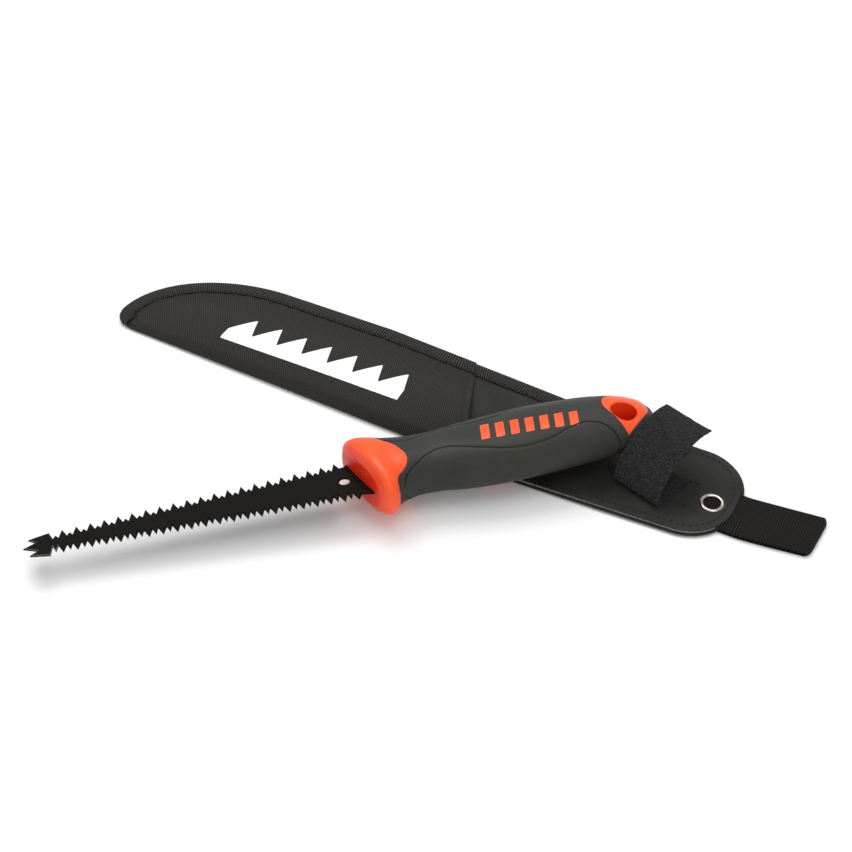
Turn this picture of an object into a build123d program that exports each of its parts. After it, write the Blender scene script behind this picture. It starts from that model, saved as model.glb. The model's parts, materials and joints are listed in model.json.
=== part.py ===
from build123d import *
import math
import os

# Double-edged jab saw lying across its own fabric sheath, millimetres, +Z up.
# The sheath lies flat along X, pocket tip at -X and belt loop at +X.
# The saw crosses it, its guard on the floor and its butt under the sheath's strap.

# ---------------------------------------------------------------- driving dimensions
# Saw, in its own frame: X along the axis towards the butt, 0 where the blade enters
# the guard, Y across the blade, Z through its thickness.
BLADE_THICK = 1.2
BLADE_LENGTH = 152.0
TOOTH_PITCH = 6.3
TOOTH_DEPTH = 5.2
TOP_SMALL_DROP = 3.2
BOTTOM_SMALL_DROP = 1.2
TOP_TEETH = 21
BOTTOM_TEETH = 22
TOP_TIP_LINE = ((-134.3, 9.1), (-8.3, 15.8))
BOTTOM_TIP_LINE = ((-134.7, -6.8), (-2.4, -13.8))
BLADE_HOLE = (-6.2, 1.0)
BLADE_HOLE_R = 2.5
TANG_LENGTH = 78.0
TANG_LOW = -2.0
TANG_HIGH = 8.0
TANG_HOLE_BACK = 12.0

GUARD_LEAN = 18.0
EYE = (127.8, -1.9)
EYE_R = 6.2
SECTION_POWER = 2.5
# station: along, centre across, half height, half thickness, lean of the section
STATIONS = [
    (1.6, 0.6, 17.3, 10.5, GUARD_LEAN),
    (3.4, 0.9, 20.9, 13.5, 17.0),
    (6.6, 1.2, 22.3, 14.6, 14.0),
    (10.5, 1.7, 20.9, 14.2, 11.0),
    (16.0, 2.2, 17.4, 13.2, 6.0),
    (23.0, 2.6, 15.0, 12.4, 2.5),
    (35.0, 2.5, 14.5, 12.0, 0.0),
    (50.0, 2.0, 16.6, 12.8, 0.0),
    (68.0, 2.0, 18.4, 13.0, 0.0),
    (86.0, 2.6, 19.0, 12.9, 0.0),
    (102.0, 2.8, 18.2, 12.5, 0.0),
    (117.0, 2.6, 16.8, 11.8, 0.0),
    (127.0, 2.2, 15.2, 10.7, 0.0),
    (134.5, 1.6, 12.8, 9.2, 0.0),
    (139.3, 1.2, 9.4, 7.2, 0.0),
    (141.8, 1.0, 5.8, 4.8, 0.0),
]
SECTION_POINTS = 20
CORE_SCALE = 0.52
CORE_START = 16.0
CORE_END = 130.0
COLOUR_SPLIT = ((10.5, 40.0), (24.2, 2.5), (11.0, -40.0))
DROP_POINT = (122.2, -22.5)
DROP_R = 9.6
DROP_LEFT = (EYE[0] - 9.0, EYE[1] - 3.0)
DROP_RIGHT = (EYE[0] + 9.0, EYE[1] - 4.0)
MOTIF_START = 58.0
MOTIF_COUNT = 7
MOTIF_STEP = 7.0
MOTIF_WIDTH = 4.2
MOTIF_HEIGHT = 8.5
MOTIF_SLANT = 2.0

# Reach of a cutting shape that only has to pass right through a piece.
THROUGH = 60.0

SAW_ORIGIN = (-3.9, -59.8, 15.9)
SAW_YAW = 42.5
SAW_PITCH = 1.3
SAW_ROLL = 10.3

# Sheath layers, from the floor up.
WEB_THICK = 1.0
COVER_THICK = 0.7
CORE_THICK = 1.0
LINING_THICK = 0.6
TAPE_THICK = 0.7
FRONT_THICK = 0.8
COVER_Z = WEB_THICK
CORE_Z = COVER_Z + COVER_THICK
LINING_Z = CORE_Z + CORE_THICK
PANEL_TOP = LINING_Z + LINING_THICK

# Sheath outline.
TIP_CENTRE = (-104.0, -2.0)
TIP_A = 73.8
TIP_B = 50.8
TOE_STEP = (3.6, 4.2)
NEAR_TIP = (-168.0, -7.6)
NEAR_MOUTH = (24.0, -11.6)
NEAR_BEND = (54.0, -15.2)
NEAR_END = (129.6, -10.6)
FAR_CROWN = (-45.0, 49.2)
FAR_MOUTH = (20.0, 46.6)
FAR_BEND = (62.0, 44.4)
FAR_END = (129.6, 45.4)
END_X = 153.6
END_R = 24.0
BINDING_WIDTH = 7.5
LAYER_INSET = 1.2

# Pocket: its mouth runs obliquely across the sheath.
MOUTH_FAR = (7.6, 37.5)
MOUTH_LEAN = 20.8
HEM_WIDTH = 4.2
POCKET_STATIONS = [(-182.0, 4.4), (-120.0, 8.0), (-60.0, 9.0), (32.0, 9.0)]
HEM_THICK = 0.7
UNDERFOLD_Y = -3.0
REAR_BINDING_END = 88.0

# Eyelet.
EYELET = (141.9, 13.4)
EYELET_R = 4.25
EYELET_WALL = 0.45
EYELET_FLANGE_R = 5.7
EYELET_FLANGE_THICK = 0.7
EYELET_ROUND = 0.45
WASHER_THICK = 0.35
WASHER_RECESS = 0.4
WASHER_PLAY = 0.05

# Belt loop webbing.
WEB_WIDTH = 25.0
WEB_Y = 13.0
WEB_START = 104.0
WEB_UPPER_START = 126.0
WEB_ROOT = 156.4
WEB_YAW = 6.5
WEB_FREE = 36.7
WEB_GAP = 1.7
WEB_SLOT_GAP = 0.4

STITCH_START = 125.0
STITCH_STEP = 3.2
STITCH_COUNT = 3
STITCH_LENGTH = 2.4
STITCH_THICK = 0.35
STITCH_SPREAD = 8.0
STITCH_Y = 14.0

# Strap.
STRAP_BASE = (108.2, 2.2)
STRAP_YAW = -16.5
STRAP_WIDTH = 26.0
STRAP_THICK = 1.4
STRAP_TAB = 23.0
HOOK_START = 26.5
HOOK_LENGTH = 13.5
HOOK_WIDTH = 14.0
HOOK_ACROSS = -5.5
HOOK_THICK = 1.2
# Centre line of the free strap seen edge on: along its length in plan, height.
STRAP_LINE = [
    (0.6, 6.2), (0.9, 10.0), (4.6, 17.2), (11.0, 23.8), (19.0, 27.8), (28.0, 28.8), (36.0, 27.4),
]


# ---------------------------------------------------------------- saw
def along(line, share):
    (x0, y0), (x1, y1) = line
    return (x0 + (x1 - x0) * share, y0 + (y1 - y0) * share)


def tooth_row(line, count, side, small_drop):
    """Big teeth, each with a smaller one ahead of it, from the blade tip to the guard."""
    points = []
    for i in range(count):
        x, y = along(line, i / (count - 1))
        points.append((x - 0.7 * TOOTH_PITCH, y - side * TOOTH_DEPTH))
        points.append((x - 0.5 * TOOTH_PITCH, y - side * small_drop))
        points.append((x - 0.3 * TOOTH_PITCH, y - side * TOOTH_DEPTH))
        points.append((x, y))
    return points


def make_blade():
    top = tooth_row(TOP_TIP_LINE, TOP_TEETH, 1, TOP_SMALL_DROP)
    bottom = tooth_row(BOTTOM_TIP_LINE, BOTTOM_TEETH, -1, BOTTOM_SMALL_DROP)
    prongs = [
        (-140.2, 8.6), (-149.6, 6.5), (-146.2, 3.6), (-BLADE_LENGTH, 0.9),
        (-145.5, -2.5), (-149.4, -5.0), (-140.5, -7.3),
    ]
    root_top = [(-6.4, 11.6), (-4.0, 11.9), (-2.6, 14.2), (4.5, 14.2), (9.0, TANG_HIGH)]
    root_bottom = [(-0.6, -10.5), (4.5, -12.2), (9.0, TANG_LOW)]
    tang = [(TANG_LENGTH, TANG_HIGH - 1.0), (TANG_LENGTH, TANG_LOW + 1.0)]
    outline = prongs[::-1] + top + root_top + tang + root_bottom[::-1] + bottom[::-1]
    face = make_face(Polyline(*outline, close=True))
    face -= Pos(*BLADE_HOLE) * Circle(BLADE_HOLE_R)
    face -= Pos(TANG_LENGTH - TANG_HOLE_BACK, (TANG_LOW + TANG_HIGH) / 2) * Circle(BLADE_HOLE_R)
    return extrude(face, BLADE_THICK / 2, both=True)


def section(station, scale=1.0):
    """One superellipse section of the handle, standing across the saw's axis."""
    s, centre, half_v, half_w, lean = station
    points = []
    for k in range(SECTION_POINTS):
        a = 2 * math.pi * k / SECTION_POINTS
        c = math.cos(a)
        t = math.sin(a)
        v = scale * half_v * math.copysign(abs(c) ** (2 / SECTION_POWER), c)
        w = scale * half_w * math.copysign(abs(t) ** (2 / SECTION_POWER), t)
        points.append((v, w))
    wire = Wire(Spline(*points, periodic=True).edges())
    plane = Plane(origin=(s, centre, 0), x_dir=(0, 1, 0), z_dir=(1, 0, 0)).rotated((0, lean, 0))
    return plane * Face(wire)


def handle_body():
    return loft([section(st) for st in STATIONS])


def core_bar():
    stations = [st for st in STATIONS if CORE_START <= st[0] < CORE_END]
    return loft([section(st, CORE_SCALE) for st in stations])


def front_region():
    """Everything ahead of the curved line where the orange guard meets the black grip."""
    a, b, c = COLOUR_SPLIT
    edge = ThreePointArc(a, b, c)
    ahead = Polyline(c, (-THROUGH, c[1]), (-THROUGH, a[1]), a)
    return extrude(make_face(Wire([edge, *ahead.edges()])), THROUGH, both=True)


def drop_region():
    """Teardrop land round the hanging eye, through the whole handle."""
    ring = Pos(*EYE) * Circle(DROP_R)
    point = make_face(Polyline(DROP_LEFT, DROP_RIGHT, DROP_POINT, close=True))
    return extrude(ring + point, THROUGH, both=True)


def motif_region():
    """A plain row of slanted bars, moulded as part of the core and flush with the grip."""
    bars = []
    half = MOTIF_HEIGHT / 2
    for i in range(MOTIF_COUNT):
        x = MOTIF_START + i * MOTIF_STEP
        x_end = x + MOTIF_WIDTH
        corners = [(x, -half), (x_end, -half), (x_end + MOTIF_SLANT, half), (x + MOTIF_SLANT, half)]
        bars.append(extrude(make_face(Polyline(*corners, close=True)), THROUGH, both=True))
    return bars


def make_handle(blade):
    body = handle_body()
    eye_hole = Pos(*EYE) * Cylinder(EYE_R, 2 * THROUGH)
    guard = body & front_region()
    core = guard + core_bar() + (body & drop_region())
    for bar in motif_region():
        core += body & bar
    grip = body - core - eye_hole
    core = core - eye_hole - blade
    return core, grip


def saw_place():
    return Pos(*SAW_ORIGIN) * Rot(0, 0, SAW_YAW) * Rot(0, -SAW_PITCH, 0) * Rot(-SAW_ROLL, 0, 0)


# ---------------------------------------------------------------- sheath
def sheath_outline(inset=0.0):
    """Plan of the whole back panel, drawn in by an inset, or out where it is negative."""
    x0, y0 = TIP_CENTRE
    left = x0 - TIP_A + inset
    far = y0 + TIP_B - inset
    toe = (left + TOE_STEP[0], y0 - TOE_STEP[1])
    near_tip = (NEAR_TIP[0] + inset, NEAR_TIP[1] + inset)
    near_mouth = (NEAR_MOUTH[0], NEAR_MOUTH[1] + inset)
    near_bend = (NEAR_BEND[0], NEAR_BEND[1] + inset)
    near_end = (NEAR_END[0], NEAR_END[1] + inset)
    far_end = (FAR_END[0], FAR_END[1] - inset)
    end_x = END_X - inset
    radius = END_R - inset
    lean = radius * (1 - math.sqrt(0.5))
    tip = EllipticalCenterArc((x0, y0), TIP_A - inset, TIP_B - inset, start_angle=90, arc_size=90)
    far_mouth = (FAR_MOUTH[0], FAR_MOUTH[1] - inset)
    crown = ThreePointArc(far_mouth, (FAR_CROWN[0], FAR_CROWN[1] - inset), (x0, far))
    toe_lines = Polyline((left, y0), toe, near_tip, near_mouth, near_bend, near_end)
    near_round = ThreePointArc(near_end, (end_x - lean, near_end[1] + lean), (end_x, near_end[1] + radius))
    end = Line((end_x, near_end[1] + radius), (end_x, far_end[1] - radius))
    far_round = ThreePointArc((end_x, far_end[1] - radius), (end_x - lean, far_end[1] - lean), far_end)
    far_lines = Polyline(far_end, (FAR_BEND[0], FAR_BEND[1] - inset), far_mouth)
    return make_face(Wire([tip, crown, near_round, end, far_round, *toe_lines.edges(), *far_lines.edges()]))


def web_slot():
    """Room in the stiffener for the webbing's upper end."""
    length = 2 * (END_X - WEB_UPPER_START)
    return Pos(END_X, WEB_Y, 0) * Box(length, WEB_WIDTH + WEB_SLOT_GAP, THROUGH)


def eyelet_hole(radius):
    return Pos(*EYELET, 0) * Cylinder(radius, THROUGH)


def make_layers():
    barrel = eyelet_hole(EYELET_R + EYELET_WALL)
    washer = Pos(*EYELET, COVER_Z) * Cylinder(EYELET_FLANGE_R, 2 * WASHER_RECESS)
    cover = Pos(0, 0, COVER_Z) * extrude(sheath_outline(), COVER_THICK) - barrel - washer
    core = Pos(0, 0, CORE_Z) * extrude(sheath_outline(LAYER_INSET), CORE_THICK) - web_slot() - barrel
    lining = Pos(0, 0, LINING_Z) * extrude(sheath_outline(LAYER_INSET), LINING_THICK) - barrel
    return cover, core, lining


def mouth_region(extra=0.0):
    """Everything on the pocket's side of the oblique mouth line."""
    slope = math.tan(math.radians(MOUTH_LEAN))
    x_far = MOUTH_FAR[0] + extra - (70 - MOUTH_FAR[1]) * slope
    x_near = MOUTH_FAR[0] + extra + (MOUTH_FAR[1] + 40) * slope
    face = make_face(Polyline((-220, 70), (x_far, 70), (x_near, -40), (-220, -40), close=True))
    return extrude(face, 60, both=True)


def near_line(x):
    """Y of the panel's near edge at one place along the pocket."""
    slope = (NEAR_MOUTH[1] - NEAR_TIP[1]) / (NEAR_MOUTH[0] - NEAR_TIP[0])
    return NEAR_TIP[1] + slope * (x - NEAR_TIP[0])


def pocket_profile(x, high, inner):
    """Closed profile across the pocket at one place along it, outside or inside its front."""
    near = near_line(x) if inner else near_line(x) - FRONT_THICK
    base = PANEL_TOP if inner else 0.0
    top = high - FRONT_THICK if inner else high
    seam = PANEL_TOP - 0.3 if inner else PANEL_TOP + FRONT_THICK
    rise = top - base
    start = (near, base + 0.30 * rise)
    crown = Spline(
        start, (near + 4.5, base + 0.74 * rise), (near + 19.0, top),
        (29.0, seam + 0.55 * (top - seam)), (42.0, seam),
    )
    far = 42.0 if inner else 52.0
    corners = [(42.0, seam), (far, base - 0.6), (near, base - 0.6), start]
    if not inner:
        corners.insert(1, (far, seam))
    sides = Polyline(*corners)
    plane = Plane(origin=(x, 0, 0), x_dir=(0, 1, 0), z_dir=(1, 0, 0))
    return plane * make_face(Wire([*crown.edges(), *sides.edges()]))


def pocket_dome(inner):
    return loft([pocket_profile(x, high, inner) for x, high in POCKET_STATIONS], ruled=True)


def pocket_clip():
    """Plan of the front panel: inside the binding, and wrapped round the near edge."""
    near_side = Pos(-60, NEAR_MOUTH[1], 0) * Box(400, 20, 100)
    within = extrude(sheath_outline(0.3), 40)
    around = extrude(sheath_outline(-FRONT_THICK), 40) & near_side
    return within + around


def make_pocket(layers, binding):
    """Front panel, which folds under the cover along its near edge."""
    front = (pocket_dome(False) - pocket_dome(True)) & pocket_clip() & mouth_region()
    front -= Pos(-60, UNDERFOLD_Y + 50, COVER_Z / 2) * Box(400, 100, COVER_Z)
    for layer in layers:
        front -= layer
    return front - binding


def make_hem(front):
    """Second thickness of cloth turned over along the mouth."""
    zone = mouth_region() - mouth_region(-HEM_WIDTH)
    above_seam = Pos(0, 12, 20 + PANEL_TOP + 1.2) * Box(400, 50, 40)
    band = front & zone & above_seam
    return Pos(0, 0, HEM_THICK) * band - front


def tape_region(x_from, x_to):
    """The stretch of the far edge that one binding tape covers, by its range along X."""
    return Pos((x_from + x_to) / 2, 30, 0) * Box(x_to - x_from, 90, 60)


def fold_tape(upper_z):
    """Edge tape folded over the sheath's edge: lower leg, wall and upper leg."""
    outline = sheath_outline()
    outer = sheath_outline(-TAPE_THICK)
    window = extrude(sheath_outline(BINDING_WIDTH), 40)
    tape = extrude(outer, upper_z + TAPE_THICK) - window
    inside = Pos(0, 0, COVER_Z) * extrude(outline, upper_z - COVER_Z)
    under = extrude(outline, COVER_Z - TAPE_THICK)
    return tape - inside - under


def make_bindings():
    pocket_top = PANEL_TOP + FRONT_THICK
    toe_cut = Pos(-120, NEAR_TIP[1] - 29.4, 0) * Box(400, 60, 60)
    pocket = (fold_tape(pocket_top) & mouth_region(-0.4)) - toe_cut
    rear = (fold_tape(PANEL_TOP) & tape_region(0, REAR_BINDING_END)) - mouth_region(0.2)
    far_side = Pos(0, 60, 0) * Box(500, 60, 60)
    return pocket, rear & far_side


def tape_plane(origin, yaw):
    return Pos(*origin) * Rot(0, 0, yaw)


def make_belt_loop():
    """Webbing folded double: two ends held at the panel, and the free loop."""
    top = CORE_Z + WEB_THICK
    lower_size = WEB_ROOT - WEB_START
    upper_size = WEB_ROOT - WEB_UPPER_START
    lower_mid = (WEB_START + lower_size / 2, WEB_Y, WEB_THICK / 2)
    upper_mid = (WEB_ROOT - upper_size / 2, WEB_Y, top - WEB_THICK / 2)
    lower = Pos(*lower_mid) * Box(lower_size, WEB_WIDTH, WEB_THICK)
    upper = Pos(*upper_mid) * Box(upper_size, WEB_WIDTH, WEB_THICK)
    upper -= eyelet_hole(EYELET_R + EYELET_WALL)
    fold_r = top / 2
    flat = WEB_FREE - fold_r
    profile = Pos(flat / 2, fold_r) * Rectangle(flat, top) + Pos(flat, fold_r) * Circle(fold_r)
    slit_r = fold_r - WEB_THICK
    slit = Pos(flat / 2 - 5, fold_r) * Rectangle(flat + 10, 2 * slit_r) + Pos(flat, fold_r) * Circle(slit_r)
    side = Rot(90, 0, 0) * extrude(profile - slit, WEB_WIDTH / 2, both=True)
    free = tape_plane((WEB_ROOT + WEB_GAP, WEB_Y, 0), WEB_YAW) * side
    return lower, upper, free


def make_eyelet():
    """Barrel with a rolled flange on the lining, and a plain washer under the cover."""
    outer = EYELET_R + EYELET_WALL
    bottom = COVER_Z
    barrel = Pos(*EYELET, bottom) * extrude(Circle(outer), PANEL_TOP - bottom)
    rim = Pos(*EYELET, PANEL_TOP) * extrude(Circle(EYELET_FLANGE_R), EYELET_FLANGE_THICK)
    rim = fillet(rim.edges().group_by(Axis.Z)[-1], EYELET_ROUND)
    ring = Circle(EYELET_FLANGE_R - 2 * WASHER_PLAY) - Circle(outer + WASHER_PLAY)
    washer = Pos(*EYELET, bottom) * extrude(ring, WASHER_THICK)
    return barrel + rim - eyelet_hole(EYELET_R), washer


def ribbon(points, thickness):
    """Face of a tape seen edge on: both sides run at half its thickness from a centre line."""
    line = Spline(*points)
    count = 2 * len(points)
    upper = []
    lower = []
    for k in range(count + 1):
        at = line @ (k / count)
        way = line % (k / count)
        side = Vector(-way.Y, way.X) * (thickness / 2)
        upper.append((at.X + side.X, at.Y + side.Y))
        lower.append((at.X - side.X, at.Y - side.Y))
    edges = [Spline(*upper), Line(upper[-1], lower[-1]), Spline(*lower), Line(lower[0], upper[0])]
    return make_face(Wire([e.edge() for e in edges]))


def make_strap():
    """Flap over the butt, its flat tab under the butt, and the hook tape that it closes on."""
    place = tape_plane((*STRAP_BASE, 0), STRAP_YAW) * Rot(0, 0, 90) * Rot(90, 0, 0)
    flap = extrude(ribbon(STRAP_LINE, STRAP_THICK), STRAP_WIDTH / 2, both=True)
    tab = Pos(STRAP_TAB / 2, PANEL_TOP + STRAP_THICK / 2, 0) * Box(STRAP_TAB, STRAP_THICK, STRAP_WIDTH)
    hook_mid = HOOK_START + HOOK_LENGTH / 2
    hook = Pos(hook_mid, PANEL_TOP + HOOK_THICK / 2, HOOK_ACROSS) * Box(HOOK_LENGTH, HOOK_THICK, HOOK_WIDTH)
    return place * flap, place * tab, place * hook


def belt_stitches():
    """Box stitching that holds the belt loop, seen on the lining as two short rows."""
    stitches = []
    for side in (-1, 1):
        for k in range(STITCH_COUNT):
            x = STITCH_START + k * STITCH_STEP
            y = STITCH_Y + side * STITCH_SPREAD
            place = Pos(x, y, PANEL_TOP + STITCH_THICK / 2)
            stitches.append(place * Box(STITCH_LENGTH, STITCH_THICK, STITCH_THICK))
    return Compound(children=stitches)


def make_shapes():
    parts = {}
    blade = make_blade()
    core, grip = make_handle(blade)
    place = saw_place()
    parts["blade"] = place * blade
    parts["handle_core"] = place * core
    parts["grip_overmould"] = place * grip
    layers = make_layers()
    parts["back_cover"], parts["panel_stiffener"], parts["panel_lining"] = layers
    pocket_binding, rear_binding = make_bindings()
    pocket_front = make_pocket(layers, pocket_binding).solids().sort_by(SortBy.VOLUME)[-1]
    parts["pocket_front"] = pocket_front
    parts["mouth_hem"] = make_hem(pocket_front) - pocket_binding
    parts["pocket_binding"] = pocket_binding
    parts["rear_binding"] = rear_binding
    parts["belt_loop_lower_end"], parts["belt_loop_upper_end"], parts["belt_loop"] = make_belt_loop()
    parts["eyelet_barrel"], parts["eyelet_washer"] = make_eyelet()
    parts["strap_flap"], parts["strap_tab"], parts["hook_tape"] = make_strap()
    parts["belt_loop_stitching"] = belt_stitches()
    return parts


def main():
    os.makedirs("parts", exist_ok=True)
    parts = make_shapes()
    boxes = [shape.bounding_box() for shape in parts.values()]
    mid_x = (min(b.min.X for b in boxes) + max(b.max.X for b in boxes)) / 2
    mid_y = (min(b.min.Y for b in boxes) + max(b.max.Y for b in boxes)) / 2
    low = min(b.min.Z for b in boxes)
    print("centred by", -mid_x, -mid_y, -low)
    for name, shape in parts.items():
        shape = Pos(-mid_x, -mid_y, -low) * shape
        box = shape.bounding_box()
        print(name, len(shape.solids()), round(shape.volume), box.min, box.max)
        export_step(shape, f"parts/{name}.step")


main()
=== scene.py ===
import json
import math

import bmesh
import bpy
import numpy as np
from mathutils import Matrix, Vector


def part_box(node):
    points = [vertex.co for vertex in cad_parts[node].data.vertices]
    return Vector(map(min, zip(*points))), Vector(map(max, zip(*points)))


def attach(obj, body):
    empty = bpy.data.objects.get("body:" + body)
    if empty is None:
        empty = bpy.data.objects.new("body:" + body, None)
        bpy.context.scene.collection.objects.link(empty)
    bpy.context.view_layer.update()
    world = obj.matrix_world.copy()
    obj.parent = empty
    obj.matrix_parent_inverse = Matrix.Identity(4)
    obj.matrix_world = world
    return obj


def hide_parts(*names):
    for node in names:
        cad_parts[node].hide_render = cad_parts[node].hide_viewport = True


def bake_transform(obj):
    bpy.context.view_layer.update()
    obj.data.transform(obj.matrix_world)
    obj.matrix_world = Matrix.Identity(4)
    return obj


# A double-edged jab saw lying across its own fabric belt sheath.
# Sizes below are millimetres in the sheath's plan frame or in the saw's own frame;
# row() and saw_row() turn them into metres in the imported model's frame.

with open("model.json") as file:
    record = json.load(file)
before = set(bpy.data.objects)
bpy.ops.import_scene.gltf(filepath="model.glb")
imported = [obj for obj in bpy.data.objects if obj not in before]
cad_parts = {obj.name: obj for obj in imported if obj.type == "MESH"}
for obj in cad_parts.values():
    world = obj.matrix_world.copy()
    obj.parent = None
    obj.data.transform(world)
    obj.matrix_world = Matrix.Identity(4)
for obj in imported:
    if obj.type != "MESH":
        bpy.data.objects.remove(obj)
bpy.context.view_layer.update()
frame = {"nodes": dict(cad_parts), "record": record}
RNG = np.random.default_rng(7)
MM = 0.001
UP = np.array([0.0, 0.0, 1.0])

# ---------------------------------------------------------------- sizes
EYELET = (141.9, 13.4)
EYELET_R = 4.25
EYELET_FLANGE_R = 5.7
EYELET_SIDES = 96
TIP_CENTRE = (-104.0, -2.0)
TIP_A = 73.8
TIP_B = 50.8
TOE = (-174.2, -6.2)
NEAR_TIP = (-168.0, -7.6)
NEAR_MOUTH = (24.0, -11.6)
NEAR_BEND = (54.0, -15.2)
NEAR_END = (129.6, -10.6)
FAR_CROWN = (-45.0, 49.2)
FAR_MOUTH = (20.0, 46.6)
FAR_BEND = (62.0, 44.4)
FAR_END = (129.6, 45.4)
END_X = 153.6
END_R = 24.0
COVER_Z = 1.0
BOARD_Z = 1.7
LINING_Z = 2.7
PANEL_TOP = 3.3
LAYER_INSET = 1.2
MOUTH_FAR = (7.6, 37.5)
MOUTH_SLOPE = math.tan(math.radians(20.8))
POCKET_X = (-182.0, -120.0, -60.0, 32.0)
POCKET_HIGH = (4.4, 8.0, 9.0, 9.0)
POCKET_SEAM = 4.1
FRONT_THICK = 0.8
HEM_WIDTH = 4.2
BINDING_WIDTH = 7.5
REAR_BINDING_END = 88.0

WEB_WIDTH = 25.0
WEB_THICK = 1.0
WEB_Y = 13.0
WEB_START = 104.0
WEB_UPPER_START = 126.0
WEB_ROOT = 156.4
WEB_GAP = 1.7
WEB_YAW = 6.5
WEB_FREE = 36.7
WEB_LOW_Z = 0.5
WEB_HIGH_Z = 2.2

STRAP_BASE = (108.2, 2.2)
STRAP_YAW = -16.5
STRAP_WIDTH = 26.0
STRAP_THICK = 1.4
HOOK_START = 26.5
HOOK_LENGTH = 13.5
HOOK_WIDTH = 14.0
HOOK_ACROSS = -5.5

BLADE_THICK = 1.2
TOOTH_PITCH = 6.3
TOOTH_DEPTH = 5.2
TOP_SMALL_DROP = 3.2
BOTTOM_SMALL_DROP = 1.2
TOP_TEETH = 21
BOTTOM_TEETH = 22
TOP_TIP_LINE = ((-134.3, 9.1), (-8.3, 15.8))
BOTTOM_TIP_LINE = ((-134.7, -6.8), (-2.4, -13.8))
BLADE_HOLE = (-6.2, 1.0)
BLADE_HOLE_R = 2.5
EYE = (127.8, -1.9)
EYE_R = 6.2
EYE_LIP = 0.35
SECTION_POWER = 2.5
# along, centre across, half height, half thickness, lean of the section in degrees
STATIONS = np.array([
    (1.6, 0.6, 17.3, 10.5, 18.0),
    (3.4, 0.9, 20.9, 13.5, 17.0),
    (6.6, 1.2, 22.3, 14.6, 14.0),
    (10.5, 1.7, 20.9, 14.2, 11.0),
    (16.0, 2.2, 17.4, 13.2, 6.0),
    (23.0, 2.6, 15.0, 12.4, 2.5),
    (35.0, 2.5, 14.5, 12.0, 0.0),
    (50.0, 2.0, 16.6, 12.8, 0.0),
    (68.0, 2.0, 18.4, 13.0, 0.0),
    (86.0, 2.6, 19.0, 12.9, 0.0),
    (102.0, 2.8, 18.2, 12.5, 0.0),
    (117.0, 2.6, 16.8, 11.8, 0.0),
    (127.0, 2.2, 15.2, 10.7, 0.0),
    (134.5, 1.6, 12.8, 9.2, 0.0),
    (139.3, 1.2, 9.4, 7.2, 0.0),
    (141.8, 1.0, 5.8, 4.8, 0.0),
])


# ---------------------------------------------------------------- places
def packed_mount(name):
    return next(m for m in frame["record"]["mounts"] if m["name"] == name)


def sheath_shift():
    low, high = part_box("eyelet_barrel")
    return np.array([(low[0] + high[0]) / 2 - EYELET[0] * MM, (low[1] + high[1]) / 2 - EYELET[1] * MM, 0.0])


SHIFT = sheath_shift()


def row(points):
    """Sheath points, in millimetres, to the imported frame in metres."""
    return np.asarray(points, float) * MM + SHIFT


def saw_frame():
    """Origin and axes of the saw's own frame, from its two holes."""
    hole = np.array(packed_mount("blade_hole")["pos_m"])
    eye = np.array(packed_mount("hanging_eye")["pos_m"])
    w = np.array(packed_mount("hanging_eye")["axis"])
    w = w / np.linalg.norm(w)
    d = (eye - hole) / np.linalg.norm(eye - hole)
    turn = math.atan2(EYE[1] - BLADE_HOLE[1], EYE[0] - BLADE_HOLE[0])
    u = math.cos(turn) * d - math.sin(turn) * np.cross(w, d)
    v = np.cross(w, u)
    origin = hole - (BLADE_HOLE[0] * u + BLADE_HOLE[1] * v) * MM
    return origin, np.array([u, v, w])


SAW_ORIGIN, SAW_AXES = saw_frame()


def saw_row(points):
    """Saw points, in millimetres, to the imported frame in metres."""
    return np.asarray(points, float) @ SAW_AXES * MM + SAW_ORIGIN


# ---------------------------------------------------------------- curves and fields
def smooth_curve(knots, step):
    """Evenly spaced points on a Catmull-Rom curve through the knots."""
    knots = np.asarray(knots, float)
    ends = [2 * knots[0] - knots[1], 2 * knots[-1] - knots[-2]]
    p = np.vstack([ends[0], knots, ends[1]])
    t = np.linspace(0, 1, 24, endpoint=False)[:, None]
    runs = []
    for a, b, c, d in zip(p, p[1:], p[2:], p[3:]):
        square = (2 * a - 5 * b + 4 * c - d) * t**2
        cube = (3 * b - a - 3 * c + d) * t**3
        runs.append(0.5 * (2 * b + (c - a) * t + square + cube))
    dense = np.vstack(runs + [p[-2]])
    return even(dense, step)


def even(line, step):
    """The same line with its points evenly spaced, about step apart."""
    line = np.asarray(line, float)
    length = np.concatenate([[0.0], np.cumsum(np.linalg.norm(np.diff(line, axis=0), axis=1))])
    count = max(2, int(round(length[-1] / step)) + 1)
    at = np.linspace(0, length[-1], count)
    return np.stack([np.interp(at, length, line[:, k]) for k in range(line.shape[1])], axis=1)


def eased(x, knots_x, knots_y):
    """Smooth interpolation: linear between knots, with a softened slope."""
    knots_x = np.asarray(knots_x, float)
    knots_y = np.asarray(knots_y, float)
    slope = np.gradient(knots_y, knots_x)
    k = np.clip(np.searchsorted(knots_x, x) - 1, 0, len(knots_x) - 2)
    h = knots_x[k + 1] - knots_x[k]
    t = np.clip((x - knots_x[k]) / h, 0, 1)
    a, b = knots_y[k], knots_y[k + 1]
    t2, t3 = t * t, t * t * t
    return ((2 * t3 - 3 * t2 + 1) * a + (t3 - 2 * t2 + t) * h * slope[k]
            + (3 * t2 - 2 * t3) * b + (t3 - t2) * h * slope[k + 1])


def smoothstep(x):
    x = np.clip(x, 0, 1)
    return x * x * (3 - 2 * x)


def line_distance(points, line):
    """Distance from each 2-D point to a polyline."""
    best = np.full(len(points), 1e9)
    for a, b in zip(line, line[1:]):
        d = b - a
        t = np.clip(((points - a) @ d) / max(d @ d, 1e-12), 0, 1)
        best = np.minimum(best, np.linalg.norm(points - a - t[:, None] * d, axis=1))
    return best


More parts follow.
